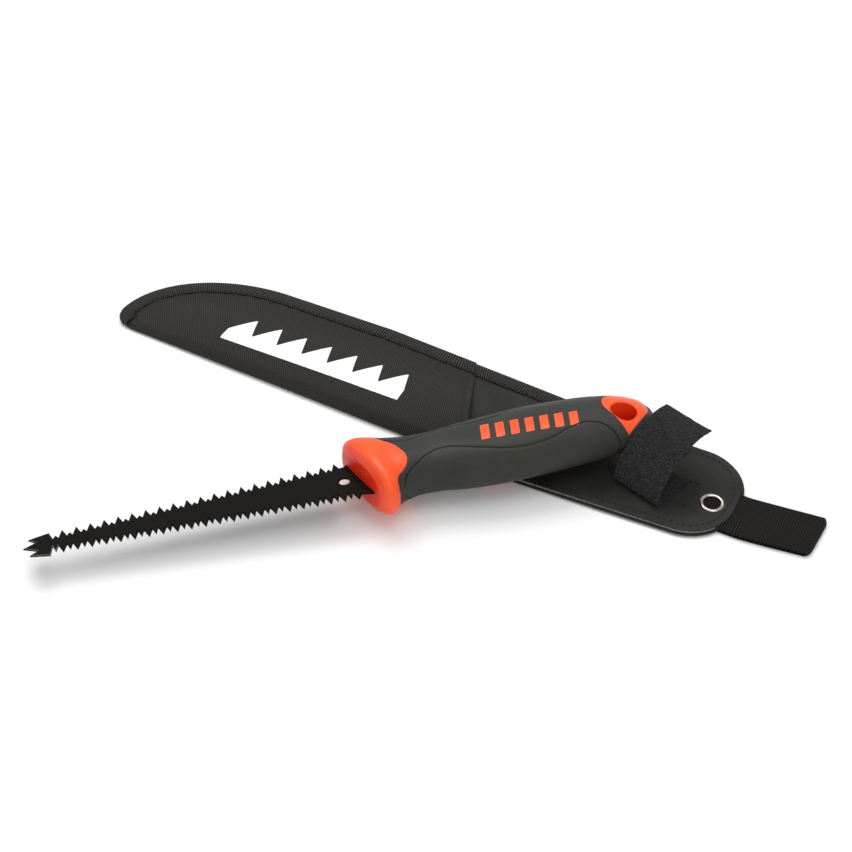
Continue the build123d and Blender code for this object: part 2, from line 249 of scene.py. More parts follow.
def polygon_field(points, corners):
    """Distance to a polygon's outline, negative inside it."""
    corners = np.asarray(corners, float)
    closed = np.vstack([corners, corners[:1]])
    away = line_distance(points, closed)
    inside = np.zeros(len(points), bool)
    for a, b in zip(closed, closed[1:]):
        crosses = (a[1] > points[:, 1]) != (b[1] > points[:, 1])
        rise = np.where(abs(b[1] - a[1]) < 1e-9, 1e-9, b[1] - a[1])
        inside ^= crosses & (points[:, 0] < (b[0] - a[0]) * (points[:, 1] - a[1]) / rise + a[0])
    return np.where(inside, -away, away)


def ripple(points, size, seed, octaves=3):
    """Smooth seeded noise from -1 to 1 made of sine waves in many directions."""
    rng = np.random.default_rng(seed)
    total = np.zeros(len(points))
    weight = 0.0
    for octave in range(octaves):
        for _ in range(6):
            way = rng.normal(size=points.shape[1])
            way /= np.linalg.norm(way)
            wave = 2 * math.pi / (size / 1.8**octave)
            wave *= rng.uniform(0.7, 1.4)
            total += np.sin(points @ way * wave + rng.uniform(0, 6.28)) / 1.6**octave
            weight += 0.5 / 1.6**octave
    return total / weight * 0.8


# ---------------------------------------------------------------- meshes
def grid_faces(rows, columns, wrap=False):
    k = np.arange(rows * columns).reshape(rows, columns)
    if wrap:
        k = np.concatenate([k, k[:, :1]], axis=1)
    quads = np.stack([k[:-1, :-1], k[1:, :-1], k[1:, 1:], k[:-1, 1:]], axis=-1)
    return quads.reshape(-1, 4)


def make_object(name, points, faces, material, attributes=None, sharp=False):
    """A mesh object from points in metres; attributes are named arrays, one value per point."""
    points = np.asarray(points, float).reshape(-1, 3)
    mesh = bpy.data.meshes.new(name)
    mesh.from_pydata([tuple(p) for p in points], [], [tuple(int(i) for i in f) for f in faces])
    mesh.validate()
    for key, values in (attributes or {}).items():
        values = np.asarray(values, np.float32)
        kind = "FLOAT_VECTOR" if values.ndim == 2 else "FLOAT"
        field = "vector" if values.ndim == 2 else "value"
        mesh.attributes.new(key, kind, "POINT").data.foreach_set(field, values.ravel())
    mesh.materials.append(material)
    mesh.polygons.foreach_set("use_smooth", [not sharp] * len(mesh.polygons))
    piece = bpy.data.objects.new(name, mesh)
    bpy.context.scene.collection.objects.link(piece)
    return piece


def settle(piece, body, slot_name, *nodes):
    """The body that a piece rides on, its material slot (not used) and the CAD nodes that it stands for."""
    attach(piece, body)
    if nodes:
        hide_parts(*nodes)


def clip(table, faces, field):
    """Keeps where the field is above zero and cuts faces on its zero line.

    Rows of table follow their points.
    """
    rows = list(table)
    extra = {}

    def cut(i, j):
        key = (min(i, j), max(i, j))
        if key not in extra:
            t = field[i] / (field[i] - field[j])
            extra[key] = len(rows)
            rows.append(table[i] + (table[j] - table[i]) * t)
        return extra[key]

    kept = []
    above = field > 0
    for f in faces:
        flags = [above[i] for i in f]
        if all(flags):
            kept.append(tuple(f))
            continue
        if not any(flags):
            continue
        ring = []
        for n, i in enumerate(f):
            j = f[(n + 1) % len(f)]
            if above[i]:
                ring.append(i)
            if above[i] != above[j]:
                ring.append(cut(i, j))
        if len(ring) >= 3:
            kept.append(tuple(ring))
    used = sorted({i for f in kept for i in f})
    new = {old: k for k, old in enumerate(used)}
    return np.array([rows[i] for i in used]), [tuple(new[i] for i in f) for f in kept]


def rim_edges(faces):
    """Directed edges that only one face uses."""
    seen = set()
    for f in faces:
        for n, i in enumerate(f):
            seen.add((int(i), int(f[(n + 1) % len(f)])))
    return [(i, j) for i, j in seen if (j, i) not in seen]


def thick(outer, inner, faces):
    """Closed shell between two copies of a patch, walled along its rim."""
    count = len(outer)
    points = np.vstack([outer, inner])
    closed = [tuple(f) for f in faces]
    closed += [tuple(int(i) + count for i in reversed(f)) for f in faces]
    closed += [(j, i, i + count, j + count) for i, j in sorted(rim_edges(faces))]
    return points, closed


def normals_of(points, faces):
    """Area-weighted normal at each point of a patch."""
    total = np.zeros_like(points)
    by_size = {}
    for f in faces:
        by_size.setdefault(len(f), []).append(f)
    for size, group in by_size.items():
        group = np.array(group)
        p = points[group]
        area = np.zeros((len(group), 3))
        for k in range(1, size - 1):
            area += np.cross(p[:, k] - p[:, 0], p[:, k + 1] - p[:, 0])
        for k in range(size):
            np.add.at(total, group[:, k], area)
    length = np.linalg.norm(total, axis=1, keepdims=True)
    return total / np.maximum(length, 1e-12)


def swept(path, side, up, loop, wiggle=None):
    """Points of a closed section carried along a path. loop is (across, out) pairs in millimetres."""
    rows = len(path)
    across = np.tile(loop[:, 0], (rows, 1))
    out = np.tile(loop[:, 1], (rows, 1))
    if wiggle is not None:
        across, out = wiggle(across, out)
    points = path[:, None, :] + across[..., None] * side[:, None, :] + out[..., None] * up[:, None, :]
    return points


def capped(rows, columns):
    """Faces of a swept closed section with both ends filled."""
    faces = [tuple(f) for f in grid_faces(rows, columns, wrap=True)]
    faces.append(tuple(range(columns)))
    faces.append(tuple((rows - 1) * columns + k for k in reversed(range(columns))))
    return faces


def rounded_strip(width, thickness, step):
    """Closed section of a flat tape with rounded edges, as (across, out) pairs."""
    r = thickness / 2
    flat = np.arange(-width / 2 + r, width / 2 - r + step / 2, step)
    turn = np.linspace(math.pi / 2, -math.pi / 2, 7)[1:-1]
    top = np.stack([flat, np.full(len(flat), r)], 1)
    right = np.stack([width / 2 - r + r * np.cos(turn), r * np.sin(turn)], 1)
    return np.vstack([top, right, -top, -right])


def tangents(path):
    t = np.gradient(path, axis=0)
    return t / np.maximum(np.linalg.norm(t, axis=1, keepdims=True), 1e-12)


def stitches(line, length=2.1, gap=0.9, radius=0.2, sink=0.35):
    """A row of short rounded thread runs along a line, each dipping into the cloth at its ends."""
    line = np.asarray(line, float)
    run = np.concatenate([[0], np.cumsum(np.linalg.norm(np.diff(line, axis=0), axis=1))])
    points, faces = [], []
    for start in np.arange(gap / 2, run[-1] - length, length + gap):
        t = np.linspace(0, 1, 7)
        at = start + length * t
        mid = np.stack([np.interp(at, run, line[:, k]) for k in range(3)], 1)
        mid = mid + UP * (radius * 0.7 - sink * (2 * t[:, None] - 1) ** 4)
        way = tangents(mid)
        side = np.cross(way, UP)
        size = radius * np.sqrt(np.clip(1 - (2 * t - 1) ** 6, 0.15, 1))
        turn = np.linspace(0, 2 * math.pi, 8, endpoint=False)
        ring = (mid[:, None, :] + size[:, None, None] * (np.cos(turn)[None, :, None] * side[:, None, :]
                + np.sin(turn)[None, :, None] * UP))
        base = len(points) * 56
        points.append(ring.reshape(-1, 3))
        faces += [tuple(int(i) + base for i in f) for f in capped(7, 8)]
    return np.vstack(points), faces


# ---------------------------------------------------------------- materials
class Shader:
    """One material with the few node calls that every material here needs."""

    def __init__(self, name, colour, roughness, **sockets):
        self.material = bpy.data.materials.new(name)
        self.material.use_nodes = True
        self.tree = self.material.node_tree
        self.bsdf = self.tree.nodes["Principled BSDF"]
        self.bsdf.inputs["Base Color"].default_value = (*colour, 1)
        self.bsdf.inputs["Roughness"].default_value = roughness
        for key, value in sockets.items():
            self.bsdf.inputs[key.replace("_", " ")].default_value = value

    def node(self, kind, inputs=None, **props):
        made = self.tree.nodes.new(kind)
        for key, value in props.items():
            setattr(made, key, value)
        for key, value in (inputs or {}).items():
            self.feed(made.inputs[key], value)
        return made

    def feed(self, socket, value):
        if isinstance(value, bpy.types.NodeSocket):
            self.tree.links.new(value, socket)
        else:
            socket.default_value = value

    def math(self, operation, a, b=0.0, clamp=False):
        made = self.node("ShaderNodeMath", {0: a, 1: b}, operation=operation)
        made.use_clamp = clamp
        return made.outputs[0]

    def attribute(self, name, output="Fac"):
        return self.node("ShaderNodeAttribute", attribute_name=name).outputs[output]

    def place(self):
        """Object coordinates in millimetres."""
        coords = self.node("ShaderNodeTexCoord").outputs["Object"]
        per_mm = (1.0 / MM,) * 3
        return self.node("ShaderNodeVectorMath", {0: coords, 1: per_mm}, operation="MULTIPLY").outputs[0]

    def noise(self, where, per_mm, detail=3.0, rough=0.55):
        inputs = {"Vector": where, "Scale": per_mm, "Detail": detail, "Roughness": rough}
        made = self.node("ShaderNodeTexNoise", inputs)
        return made.outputs["Fac"]

    def ramp(self, value, stops):
        made = self.node("ShaderNodeValToRGB", {"Fac": value})
        elements = made.color_ramp.elements
        while len(elements) < len(stops):
            elements.new(0.5)
        for element, (at, colour) in zip(elements, stops):
            element.position = at
            element.color = (*colour, 1)
        return made.outputs["Color"]

    def mix(self, share, a, b):
        made = self.node("ShaderNodeMix", data_type="RGBA")
        self.feed(made.inputs[0], share)
        self.feed(made.inputs[6], a)
        self.feed(made.inputs[7], b)
        return made.outputs[2]

    def spread(self, value, low, high, out_low, out_high):
        made = self.node("ShaderNodeMapRange", {0: value, 1: low, 2: high, 3: out_low, 4: out_high})
        return made.outputs[0]

    def weave(self, where, pitch_u, pitch_v):
        """Height of a plain weave: bumps that alternate like a chessboard."""
        parts = self.node("ShaderNodeSeparateXYZ", {0: where}).outputs
        u = self.math("SINE", self.math("MULTIPLY", parts[0], math.pi / pitch_u))
        v = self.math("SINE", self.math("MULTIPLY", parts[1], math.pi / pitch_v))
        product = self.math("MULTIPLY", u, v)
        return self.spread(product, -1.0, 1.0, 0.0, 1.0)

    def bump(self, height, distance_mm, strength=1.0):
        inputs = {"Height": height, "Distance": distance_mm * MM, "Strength": strength}
        made = self.node("ShaderNodeBump", inputs)
        self.tree.links.new(made.outputs["Normal"], self.bsdf.inputs["Normal"])

    def colour(self, socket):
        self.tree.links.new(socket, self.bsdf.inputs["Base Color"])

    def rough(self, socket):
        self.tree.links.new(socket, self.bsdf.inputs["Roughness"])


def woven_material():
    s = Shader("woven_nylon_look", (0.03, 0.028, 0.025), 0.62, Sheen_Weight=0.03, Specular_IOR_Level=0.1)
    where = s.attribute("cloth", "Vector")
    wave = s.weave(where, 0.62, 0.85)
    worn = s.noise(where, 0.03)
    speck = s.noise(where, 1.1, 2.0)
    height = s.math("ADD", wave, s.math("MULTIPLY", speck, 0.5))
    yarn = s.ramp(height, [
        (0.2, (0.005, 0.0045, 0.0038)), (0.75, (0.022, 0.02, 0.017)), (1.0, (0.045, 0.041, 0.036)),
    ])
    warm = s.mix(s.spread(worn, 0.35, 0.7, 0.0, 0.35), yarn, (0.026, 0.0235, 0.02, 1))
    s.colour(warm)
    s.rough(s.spread(wave, 0.0, 1.0, 0.72, 0.5))
    s.bump(height, 0.22, 0.8)
    return s.material


def ribbed_material(name, colour, roughness, weave, shares, stops, depth, **sockets):
    """Ribbed tape: its ribs and its yarns, in the given shares, as height and as colour."""
    s = Shader(name, colour, roughness, **sockets)
    where = s.attribute("cloth", "Vector")
    yarn = s.weave(where, *weave) if weave else s.noise(where, 2.2, 2.0)
    ribs = s.math("MULTIPLY", s.attribute("rib"), shares[0])
    height = s.math("ADD", ribs, s.math("MULTIPLY", yarn, shares[1]))
    s.colour(s.ramp(height, stops))
    s.bump(height, depth, 0.7)
    return s.material


def vinyl_material():
    s = Shader("vinyl_look", (0.035, 0.038, 0.036), 0.5, Specular_IOR_Level=0.2)
    where = s.place()
    inputs = {"Vector": where, "Scale": 1.5}
    cells = s.node("ShaderNodeTexVoronoi", inputs, feature="DISTANCE_TO_EDGE").outputs[0]
    fine = s.noise(where, 2.5, 3.0)
    broad = s.noise(where, 0.045, 2.0)
    height = s.math("ADD", s.spread(cells, 0.0, 0.25, 0.0, 1.0), s.math("MULTIPLY", fine, 0.6))
    tone = s.ramp(broad, [(0.3, (0.014, 0.0142, 0.0118)), (0.7, (0.03, 0.0305, 0.0265))])
    s.colour(s.mix(s.spread(height, 0.1, 1.2, 0.45, 0.0), tone, (0.005, 0.005, 0.0042, 1)))
    s.rough(s.spread(fine, 0.3, 0.7, 0.42, 0.6))
    s.bump(height, 0.12, 0.6)
    return s.material


def orange_material():
    s = Shader("orange_plastic_look", (0.95, 0.11, 0.022), 0.34,
               Specular_IOR_Level=0.35, Subsurface_Weight=0.1,
               Subsurface_Scale=0.003)
    s.bsdf.inputs["Subsurface Radius"].default_value = (1.0, 0.35, 0.15)
    where = s.place()
    cloud = s.noise(where, 0.06, 2.0)
    fine = s.noise(where, 3.0, 3.0)
    tone = s.ramp(cloud, [(0.3, (0.95, 0.082, 0.012)), (0.7, (1.0, 0.11, 0.02))])
    # painted shade: the front attribute mixes the orange toward deep red on the guard's face toward the
    # blade and on the eye's lip and wall
    s.colour(s.mix(s.attribute("front"), tone, (0.8, 0.026, 0.003, 1)))
    s.rough(s.spread(fine, 0.3, 0.7, 0.3, 0.42))
    s.bump(fine, 0.03, 0.35)
    return s.material


def grip_material():
    s = Shader("black_grip_look", (0.043, 0.043, 0.041), 0.5, Specular_IOR_Level=0.22)
    where = s.place()
    fine = s.noise(where, 5.0, 3.0, 0.6)
    broad = s.noise(where, 0.05, 2.0)
    groove = s.attribute("groove")
    tone = s.ramp(broad, [(0.3, (0.023, 0.0233, 0.0212)), (0.7, (0.033, 0.0334, 0.0308))])
    tone = s.mix(s.spread(fine, 0.35, 0.75, 0.0, 0.3), tone, (0.05, 0.05, 0.047, 1))
    # painted shade: the groove attribute darkens the grip toward near black in the grooves and on the
    # strips lying in them
    s.colour(s.mix(groove, tone, (0.004, 0.004, 0.004, 1)))
    s.rough(s.spread(fine, 0.3, 0.7, 0.44, 0.56))
    s.bump(fine, 0.05, 0.5)
    return s.material


def blade_material(name, low, high, roughness, shine):
    s = Shader(name, high, roughness, Specular_IOR_Level=shine)
    where = s.place()
    fine = s.noise(where, 4.0, 3.0, 0.6)
    broad = s.noise(where, 0.12, 3.0)
    s.colour(s.ramp(broad, [(0.3, low), (0.7, high)]))
    s.rough(s.spread(fine, 0.3, 0.7, roughness - 0.07, roughness + 0.08))
    s.bump(fine, 0.03, 0.5)
    return s.material


def noise_material(name, base, noise, stops, bump, rough=None, **sockets):
    """A look made of one noise: its colours, its bump and, on metal, its roughness."""
    s = Shader(name, *base, **sockets)
    value = s.noise(s.place(), *noise)
    s.colour(s.ramp(value, stops))
    if rough:
        s.rough(s.spread(value, 0.3, 0.7, *rough))
    if bump:
        s.bump(value, *bump)
    return s.material


def fibre_material(name, low, high, roughness):
    return noise_material(name, (high, roughness), (3.5, 2.0), [(0.3, low), (0.75, high)], (0.08, 0.6),
                          Sheen_Weight=0.05, Specular_IOR_Level=0.25)


def print_material():
    s = Shader("white_print_look", (0.86, 0.86, 0.85), 0.55)
    where = s.attribute("cloth", "Vector")
    wave = s.weave(where, 0.62, 0.85)
    wear = s.noise(where, 0.9, 3.0)
    s.colour(s.ramp(wear, [(0.2, (0.8, 0.8, 0.79)), (0.5, (0.93, 0.93, 0.92))]))
    s.bump(wave, 0.06, 0.4)
    return s.material


WOVEN = woven_material()
TAPE = ribbed_material("edge_tape_look", (0.022, 0.021, 0.02), 0.75, None, (1.0, 0.6), [
    (0.15, (0.003, 0.0028, 0.0025)), (0.75, (0.017, 0.016, 0.0145)), (1.0, (0.06, 0.057, 0.052)),
], 0.2, Sheen_Weight=0.02, Specular_IOR_Level=0.08)
WEBBING = ribbed_material("webbing_look", (0.02, 0.019, 0.019), 0.6, (1.2, 0.75), (0.6, 0.6), [
    (0.1, (0.0018, 0.0016, 0.0014)), (0.75, (0.0085, 0.0076, 0.0068)), (1.0, (0.03, 0.027, 0.025)),
], 0.22, Sheen_Weight=0.01, Specular_IOR_Level=0.06)
VINYL = vinyl_material()
BOARD = noise_material("pale_board_look", ((0.5, 0.49, 0.45), 0.7), (1.2,),
                       [(0.35, (0.1, 0.098, 0.09)), (0.7, (0.3, 0.29, 0.27))], (0.1, 0.4))
ORANGE = orange_material()
GRIP = grip_material()
COATING = blade_material("blade_coating_look", (0.0042, 0.0032, 0.002), (0.0068, 0.0053, 0.0036),
                         0.42, 0.06)
# painted highlight: a lighter, shinier grey than the coating, used for the prongs' near-side bevel faces
PRONG_HIGHLIGHT = blade_material("prong_bevel_highlight_look", (0.06, 0.057, 0.052), (0.14, 0.135, 0.125), 0.36, 0.5)
NICKEL = noise_material("nickel_look", ((0.76, 0.71, 0.69), 0.16), (3.0, 4.0, 0.6),
                        [(0.3, (0.4, 0.35, 0.33)), (0.7, (0.66, 0.6, 0.57))], (0.02, 0.3), (0.12, 0.28),
                        Metallic=1.0)
LOOPS = noise_material("loop_tape_look", ((0.025, 0.025, 0.026), 0.85), (0.9, 4.0, 0.75),
                       [(0.38, (0.004, 0.004, 0.0042)), (0.6, (0.022, 0.022, 0.0225)),
                        (0.74, (0.1, 0.1, 0.102))], (0.35, 0.9), Sheen_Weight=0.08, Specular_IOR_Level=0.2)
FUZZ = fibre_material("loop_fibre_look", (0.012, 0.012, 0.0125), (0.15, 0.15, 0.152), 0.7)
HOOKS = fibre_material("hook_tape_look", (0.01, 0.01, 0.01), (0.03, 0.03, 0.03), 0.6)
THREAD = fibre_material("thread_look", (0.003, 0.003, 0.003), (0.016, 0.015, 0.014), 0.7)
PRINT = print_material()
FLOOR = noise_material("floor_look", ((0.93, 0.93, 0.93), 0.6), (0.01, 2.0),
                       [(0.3, (0.92, 0.92, 0.92)), (0.7, (0.94, 0.94, 0.94))], None)


# ---------------------------------------------------------------- camera, light, floor
CAMERA_AZIMUTH = 27.5
CAMERA_ELEVATION = 45.0
CAMERA_DISTANCE = 0.784
CAMERA_LENS = 68.03


def make_camera():
    data = bpy.data.cameras.new("camera")
    data.lens = CAMERA_LENS
    data.sensor_width = 36.0
    camera = bpy.data.objects.new("camera", data)
    azimuth, elevation = math.radians(CAMERA_AZIMUTH), math.radians(CAMERA_ELEVATION)
    back = Vector((math.sin(azimuth) * math.cos(elevation), -math.cos(azimuth) * math.cos(elevation),
                   math.sin(elevation)))
    target = Vector(row((0.0, 0.0, 0.0)))
    camera.location = target + back * CAMERA_DISTANCE
    camera.rotation_euler = back.to_track_quat("Z", "Y").to_euler()
    bpy.context.scene.collection.objects.link(camera)
    bpy.context.scene.camera = camera


def area_light(name, where, size, power):
    data = bpy.data.lights.new(name, "AREA")
    data.shape = "RECTANGLE"
    data.size, data.size_y = size
    data.energy = power
    light = bpy.data.objects.new(name, data)
    light.location = where
    light.rotation_euler = Vector(where).to_track_quat("Z", "Y").to_euler()
    bpy.context.scene.collection.objects.link(light)


def make_stage():
    corners = [(-6, -6, 0), (6, -6, 0), (6, 6, 0), (-6, 6, 0)]
    floor = make_object("floor", corners, [(0, 1, 2, 3)], FLOOR)
    world = bpy.data.worlds.new("studio")
    world.use_nodes = True
    world.node_tree.nodes["Background"].inputs["Color"].default_value = (1, 1, 1, 1)
    world.node_tree.nodes["Background"].inputs["Strength"].default_value = 0.58
    bpy.context.scene.world = world
    area_light("key", (-0.5, 0.55, 1.1), (0.9, 0.5), 7.0)
    area_light("fill", (0.75, -0.85, 0.75), (0.8, 0.8), 3.0)
    area_light("top", (0.1, 0.2, 1.3), (1.2, 0.6), 5.0)
    bpy.context.scene.view_settings.view_transform = "Standard"


# ---------------------------------------------------------------- saw
HANDLE_STEP = 0.42
HANDLE_COLUMNS = 240
LOWER_GROOVE = [
    (18.6, -22.6), (20.3, -17.2), (23.4, -13.9), (31.0, -8.6), (37.3, -6.2), (43.0, -6.4), (50.0, -8.8),
    (61.1, -12.4), (70.2, -14.6), (79.7, -15.4), (89.8, -14.3), (98.0, -11.3), (104.5, -9.5), (110.0, -9.5),
    (115.2, -11.7), (119.3, -16.0), (122.4, -22.0),
]
UPPER_GROOVE = [
    (15.5, 7.2), (20.0, 4.8), (27.0, 4.6), (34.0, 7.1), (41.0, 9.3), (48.0, 9.0), (57.0, 7.4), (67.0, 8.5),
    (78.0, 11.7), (89.0, 13.9), (100.0, 13.4), (111.0, 11.8), (118.0, 11.4),
]
SPLIT_G = (-27.0, -22.2, -18.7, -16.8, -13.9, -10.0, -5.8, -2.4, 3.3, 8.1, 14.0, 26.0)
SPLIT_S = (16.1, 15.8, 16.0, 16.9, 19.8, 22.3, 22.6, 21.3, 18.3, 14.2, 11.8, 10.5)
LAND_CENTRE = (130.0, 0.8)
LAND_R = 10.6
LAND_POINT = (126.4, -18.2)
BAR_START = 58.0
BAR_STEP = 7.0
BAR_COUNT = 7
BAR_WIDTH = 4.2
BAR_HALF = 5.2
BAR_SLANT = 2.0


def handle_rows():
    """Where each ring of the handle's mesh lies: along, share of the section, and its station values."""
    first, last = STATIONS[0, 0], STATIONS[-1, 0]
    body = np.linspace(first, last, int((last - first) / HANDLE_STEP))
    cap = np.linspace(0.04, 0.985, 16)
    front = [(first - 0.7 * (1 - share**2) ** 0.5, share) for share in cap]
    back = [(last + 1.6 * (1 - share**2) ** 0.5, share) for share in cap[::-1]]
    rings = front + [(s, 1.0) for s in body] + back
    along = np.array([r[0] for r in rings])
    share = np.array([r[1] for r in rings])
    at = np.clip(along, first, last)
    values = [eased(at, STATIONS[:, 0], STATIONS[:, k]) for k in range(1, 5)]
    return along, share, values


def handle_surface():
    """Rings of points on the plain handle, with their girth position g from the middle of a broad side."""
    along, share, (centre, high, deep, lean) = handle_rows()
    turn = np.linspace(0, 2 * math.pi, 1441)
    c, s = np.cos(turn), np.sin(turn)
    power = 2 / SECTION_POWER
    unit_w = np.sign(c) * abs(c) ** power
    unit_v = np.sign(s) * abs(s) ** power
    points = np.zeros((len(along), HANDLE_COLUMNS, 3))
    girth = np.zeros((len(along), HANDLE_COLUMNS))
    for k in range(len(along)):
        v, w = high[k] * unit_v, deep[k] * unit_w
        run = np.concatenate([[0], np.cumsum(np.hypot(np.diff(v), np.diff(w)))])
        at = np.linspace(0, run[-1], HANDLE_COLUMNS, endpoint=False)
        v, w = np.interp(at, run, v) * share[k], np.interp(at, run, w) * share[k]
        tilt = math.radians(lean[k])
        points[k] = np.stack([along[k] - math.sin(tilt) * v, centre[k] + math.cos(tilt) * v, w], 1)
        quarter = run[-1] / 4
        near = np.where(at < 2 * quarter, at, at - 4 * quarter)
        girth[k] = np.where(abs(near) <= quarter, near, np.sign(near) * (2 * quarter - abs(near)))
    points = points.reshape(-1, 3)
    table = np.concatenate([points, points[:, :1], girth.reshape(-1, 1)], axis=1)
    return table, grid_faces(len(along), HANDLE_COLUMNS, wrap=True)


def land_field(flat):
    """Teardrop land round the eye: below zero inside it."""
    way = np.subtract(LAND_POINT, LAND_CENTRE)
    reach = np.linalg.norm(way)
    way = way / reach
    q = flat - LAND_CENTRE
    x = q @ way
    y = abs(q @ np.array([-way[1], way[0]]))
    angle = math.asin(LAND_R / reach)
    flank = y * math.cos(angle) - (reach - x) * math.sin(angle)
    return np.where(x < LAND_R**2 / reach, np.hypot(x, y) - LAND_R, flank)


def bar_field(flat):
    """Row of slanted bars on the grip: below zero inside any of them."""
    best = np.full(len(flat), 1e3)
    for k in range(BAR_COUNT):
        s = BAR_START + k * BAR_STEP
        g = -2.0 - 0.085 * k * BAR_STEP
        half = BAR_HALF - 0.1 * k
        corners = [(s, g - half), (s + BAR_WIDTH, g - half), (s + BAR_WIDTH + BAR_SLANT, g + half),
                   (s + BAR_SLANT, g + half)]
        best = np.minimum(best, polygon_field(flat, corners))
    return best


def finish_handle(table, faces):
    """Grooves, soft steps and the dished land, moved along the surface's normals."""
    points = table[:, :3].copy()
    flat = table[:, 3:5]
    normals = normals_of(points, faces)
    lower = smooth_curve(LOWER_GROOVE, 1.0)
    upper = smooth_curve(UPPER_GROOVE, 1.0)
    to_lower = line_distance(flat, lower)
    to_upper = line_distance(flat, upper)
    near = np.minimum(to_lower, to_upper)
    groove = np.exp(-(near / 0.55) ** 2)
    low_edge = np.interp(flat[:, 0], lower[:, 0], lower[:, 1], left=-99, right=-99)
    below = smoothstep((low_edge - flat[:, 1]) / 2.2)
    high_edge = np.interp(flat[:, 0], upper[:, 0], upper[:, 1], left=99, right=99)
    above = smoothstep((flat[:, 1] - high_edge) / 2.2)
    split = flat[:, 0] - eased(flat[:, 1], SPLIT_G, SPLIT_S)
    seam = np.exp(-(split / 0.4) ** 2)
    land = land_field(flat)
    seam = np.maximum(seam, np.exp(-(land / 0.35) ** 2))
    waist = np.exp(-((flat[:, 0] - 14.5) / 4.0) ** 2) * np.exp(-((flat[:, 1] + 6) / 7.0) ** 2)
    move = -0.2 * groove + 0.12 * below + 0.1 * above - 0.15 * seam - 0.9 * waist
    move -= 0.3 * smoothstep(-land / 1.2)
    points += normals * move[:, None]
    # the groove profile, scaled, is also returned as the grip's painted shade in the grooves
    return points, 0.35 * groove, split, land


def girth_point(s, g, side):
    """Point and outward direction on the plain handle at a station and a girth, on one broad side."""
    at = np.array([s])
    centre, high, deep, lean = (eased(at, STATIONS[:, 0], STATIONS[:, k])[0] for k in range(1, 5))
    turn = np.linspace(0, 2 * math.pi, 361)
    power = 2 / SECTION_POWER
    v = high * np.sign(np.sin(turn)) * abs(np.sin(turn)) ** power
    w = deep * np.sign(np.cos(turn)) * abs(np.cos(turn)) ** power
    run = np.concatenate([[0], np.cumsum(np.hypot(np.diff(v), np.diff(w)))])
    at = (g if side > 0 else run[-1] / 2 - g) % run[-1]
    ends = np.array([at - 0.4, at, at + 0.4]) % run[-1]
    v, w = np.interp(ends, run, v), np.interp(ends, run, w)
    out = np.array([0.0, w[0] - w[2], v[2] - v[0]])
    out = out / np.linalg.norm(out)
    if out @ np.array([0.0, v[1], w[1]]) < 0:
        out = -out
    tilt = math.radians(lean)
    return np.array([s - math.sin(tilt) * v[1], centre + math.cos(tilt) * v[1], w[1]]), out


def groove_line(knots, side):
    """Painted shade along the bottom of one moulded groove: a narrow closed strip lying in it, coloured
    near black.
    """
    flat = smooth_curve(knots, 0.9)
    clear = (flat[:, 0] > eased(flat[:, 1], SPLIT_G, SPLIT_S) + 0.3) & (land_field(flat) > 0.3)
    flat = flat[clear]
    places = []
    for s, g in flat:
        slip = girth_point(s, g, side)[0][0] - s
        places.append(girth_point(s - slip, g, side))
    path = np.array([p for p, _ in places])
    out = np.array([n for _, n in places])
    width = np.cross(out, tangents(path))
    half = 0.3 * np.clip(np.minimum(np.arange(len(path)), np.arange(len(path))[::-1]) / 6.0, 0.15, 1)
    corners = [(-1, -0.6), (-1, -0.06), (0, -0.12), (1, -0.06), (1, -0.6)]
    rings = [path + width * (half * a)[:, None] + out * depth for a, depth in corners]
    return np.stack(rings, 1).reshape(-1, 3), capped(len(path), len(corners))


def eye_tube(side, rim):
    """Rounded lip and half the wall of the hanging eye, on one broad side, from the land's rim points."""
    turn = np.linspace(0, 2 * math.pi, 96, endpoint=False)
    mouth = EYE_R + EYE_LIP
    rim = rim[rim[:, 2] * side > 0]
    angle = np.arctan2(rim[:, 1] - EYE[1], rim[:, 0] - EYE[0])
    order = np.argsort(angle)
    top = np.interp(turn, angle[order], abs(rim[order, 2]), period=2 * math.pi)
    rings = [(mouth + 0.4, top - 0.5), (mouth + 0.02, top)]
    for angle in np.linspace(10, 90, 7):
        a = math.radians(angle)
        rings.append((EYE_R + EYE_LIP * (1 - math.sin(a)), top - EYE_LIP * (1 - math.cos(a))))
    for share in np.linspace(0.9, 0.0, 7):
        rings.append((EYE_R, (top - EYE_LIP) * share))
    points = [np.stack([EYE[0] + r * np.cos(turn), EYE[1] + r * np.sin(turn), side * w * np.ones(96)], 1)
              for r, w in rings]
    faces = grid_faces(len(rings), 96, wrap=True)
    if side > 0:
        faces = faces[:, ::-1]
    return np.vstack(points), faces


def join(parts):
    """One point array and face list from several."""
    points, faces, base = [], [], 0
    for p, f in parts:
        points.append(np.asarray(p, float))
        faces += [tuple(int(i) + base for i in face) for face in f]
        base += len(p)
    return np.vstack(points), faces


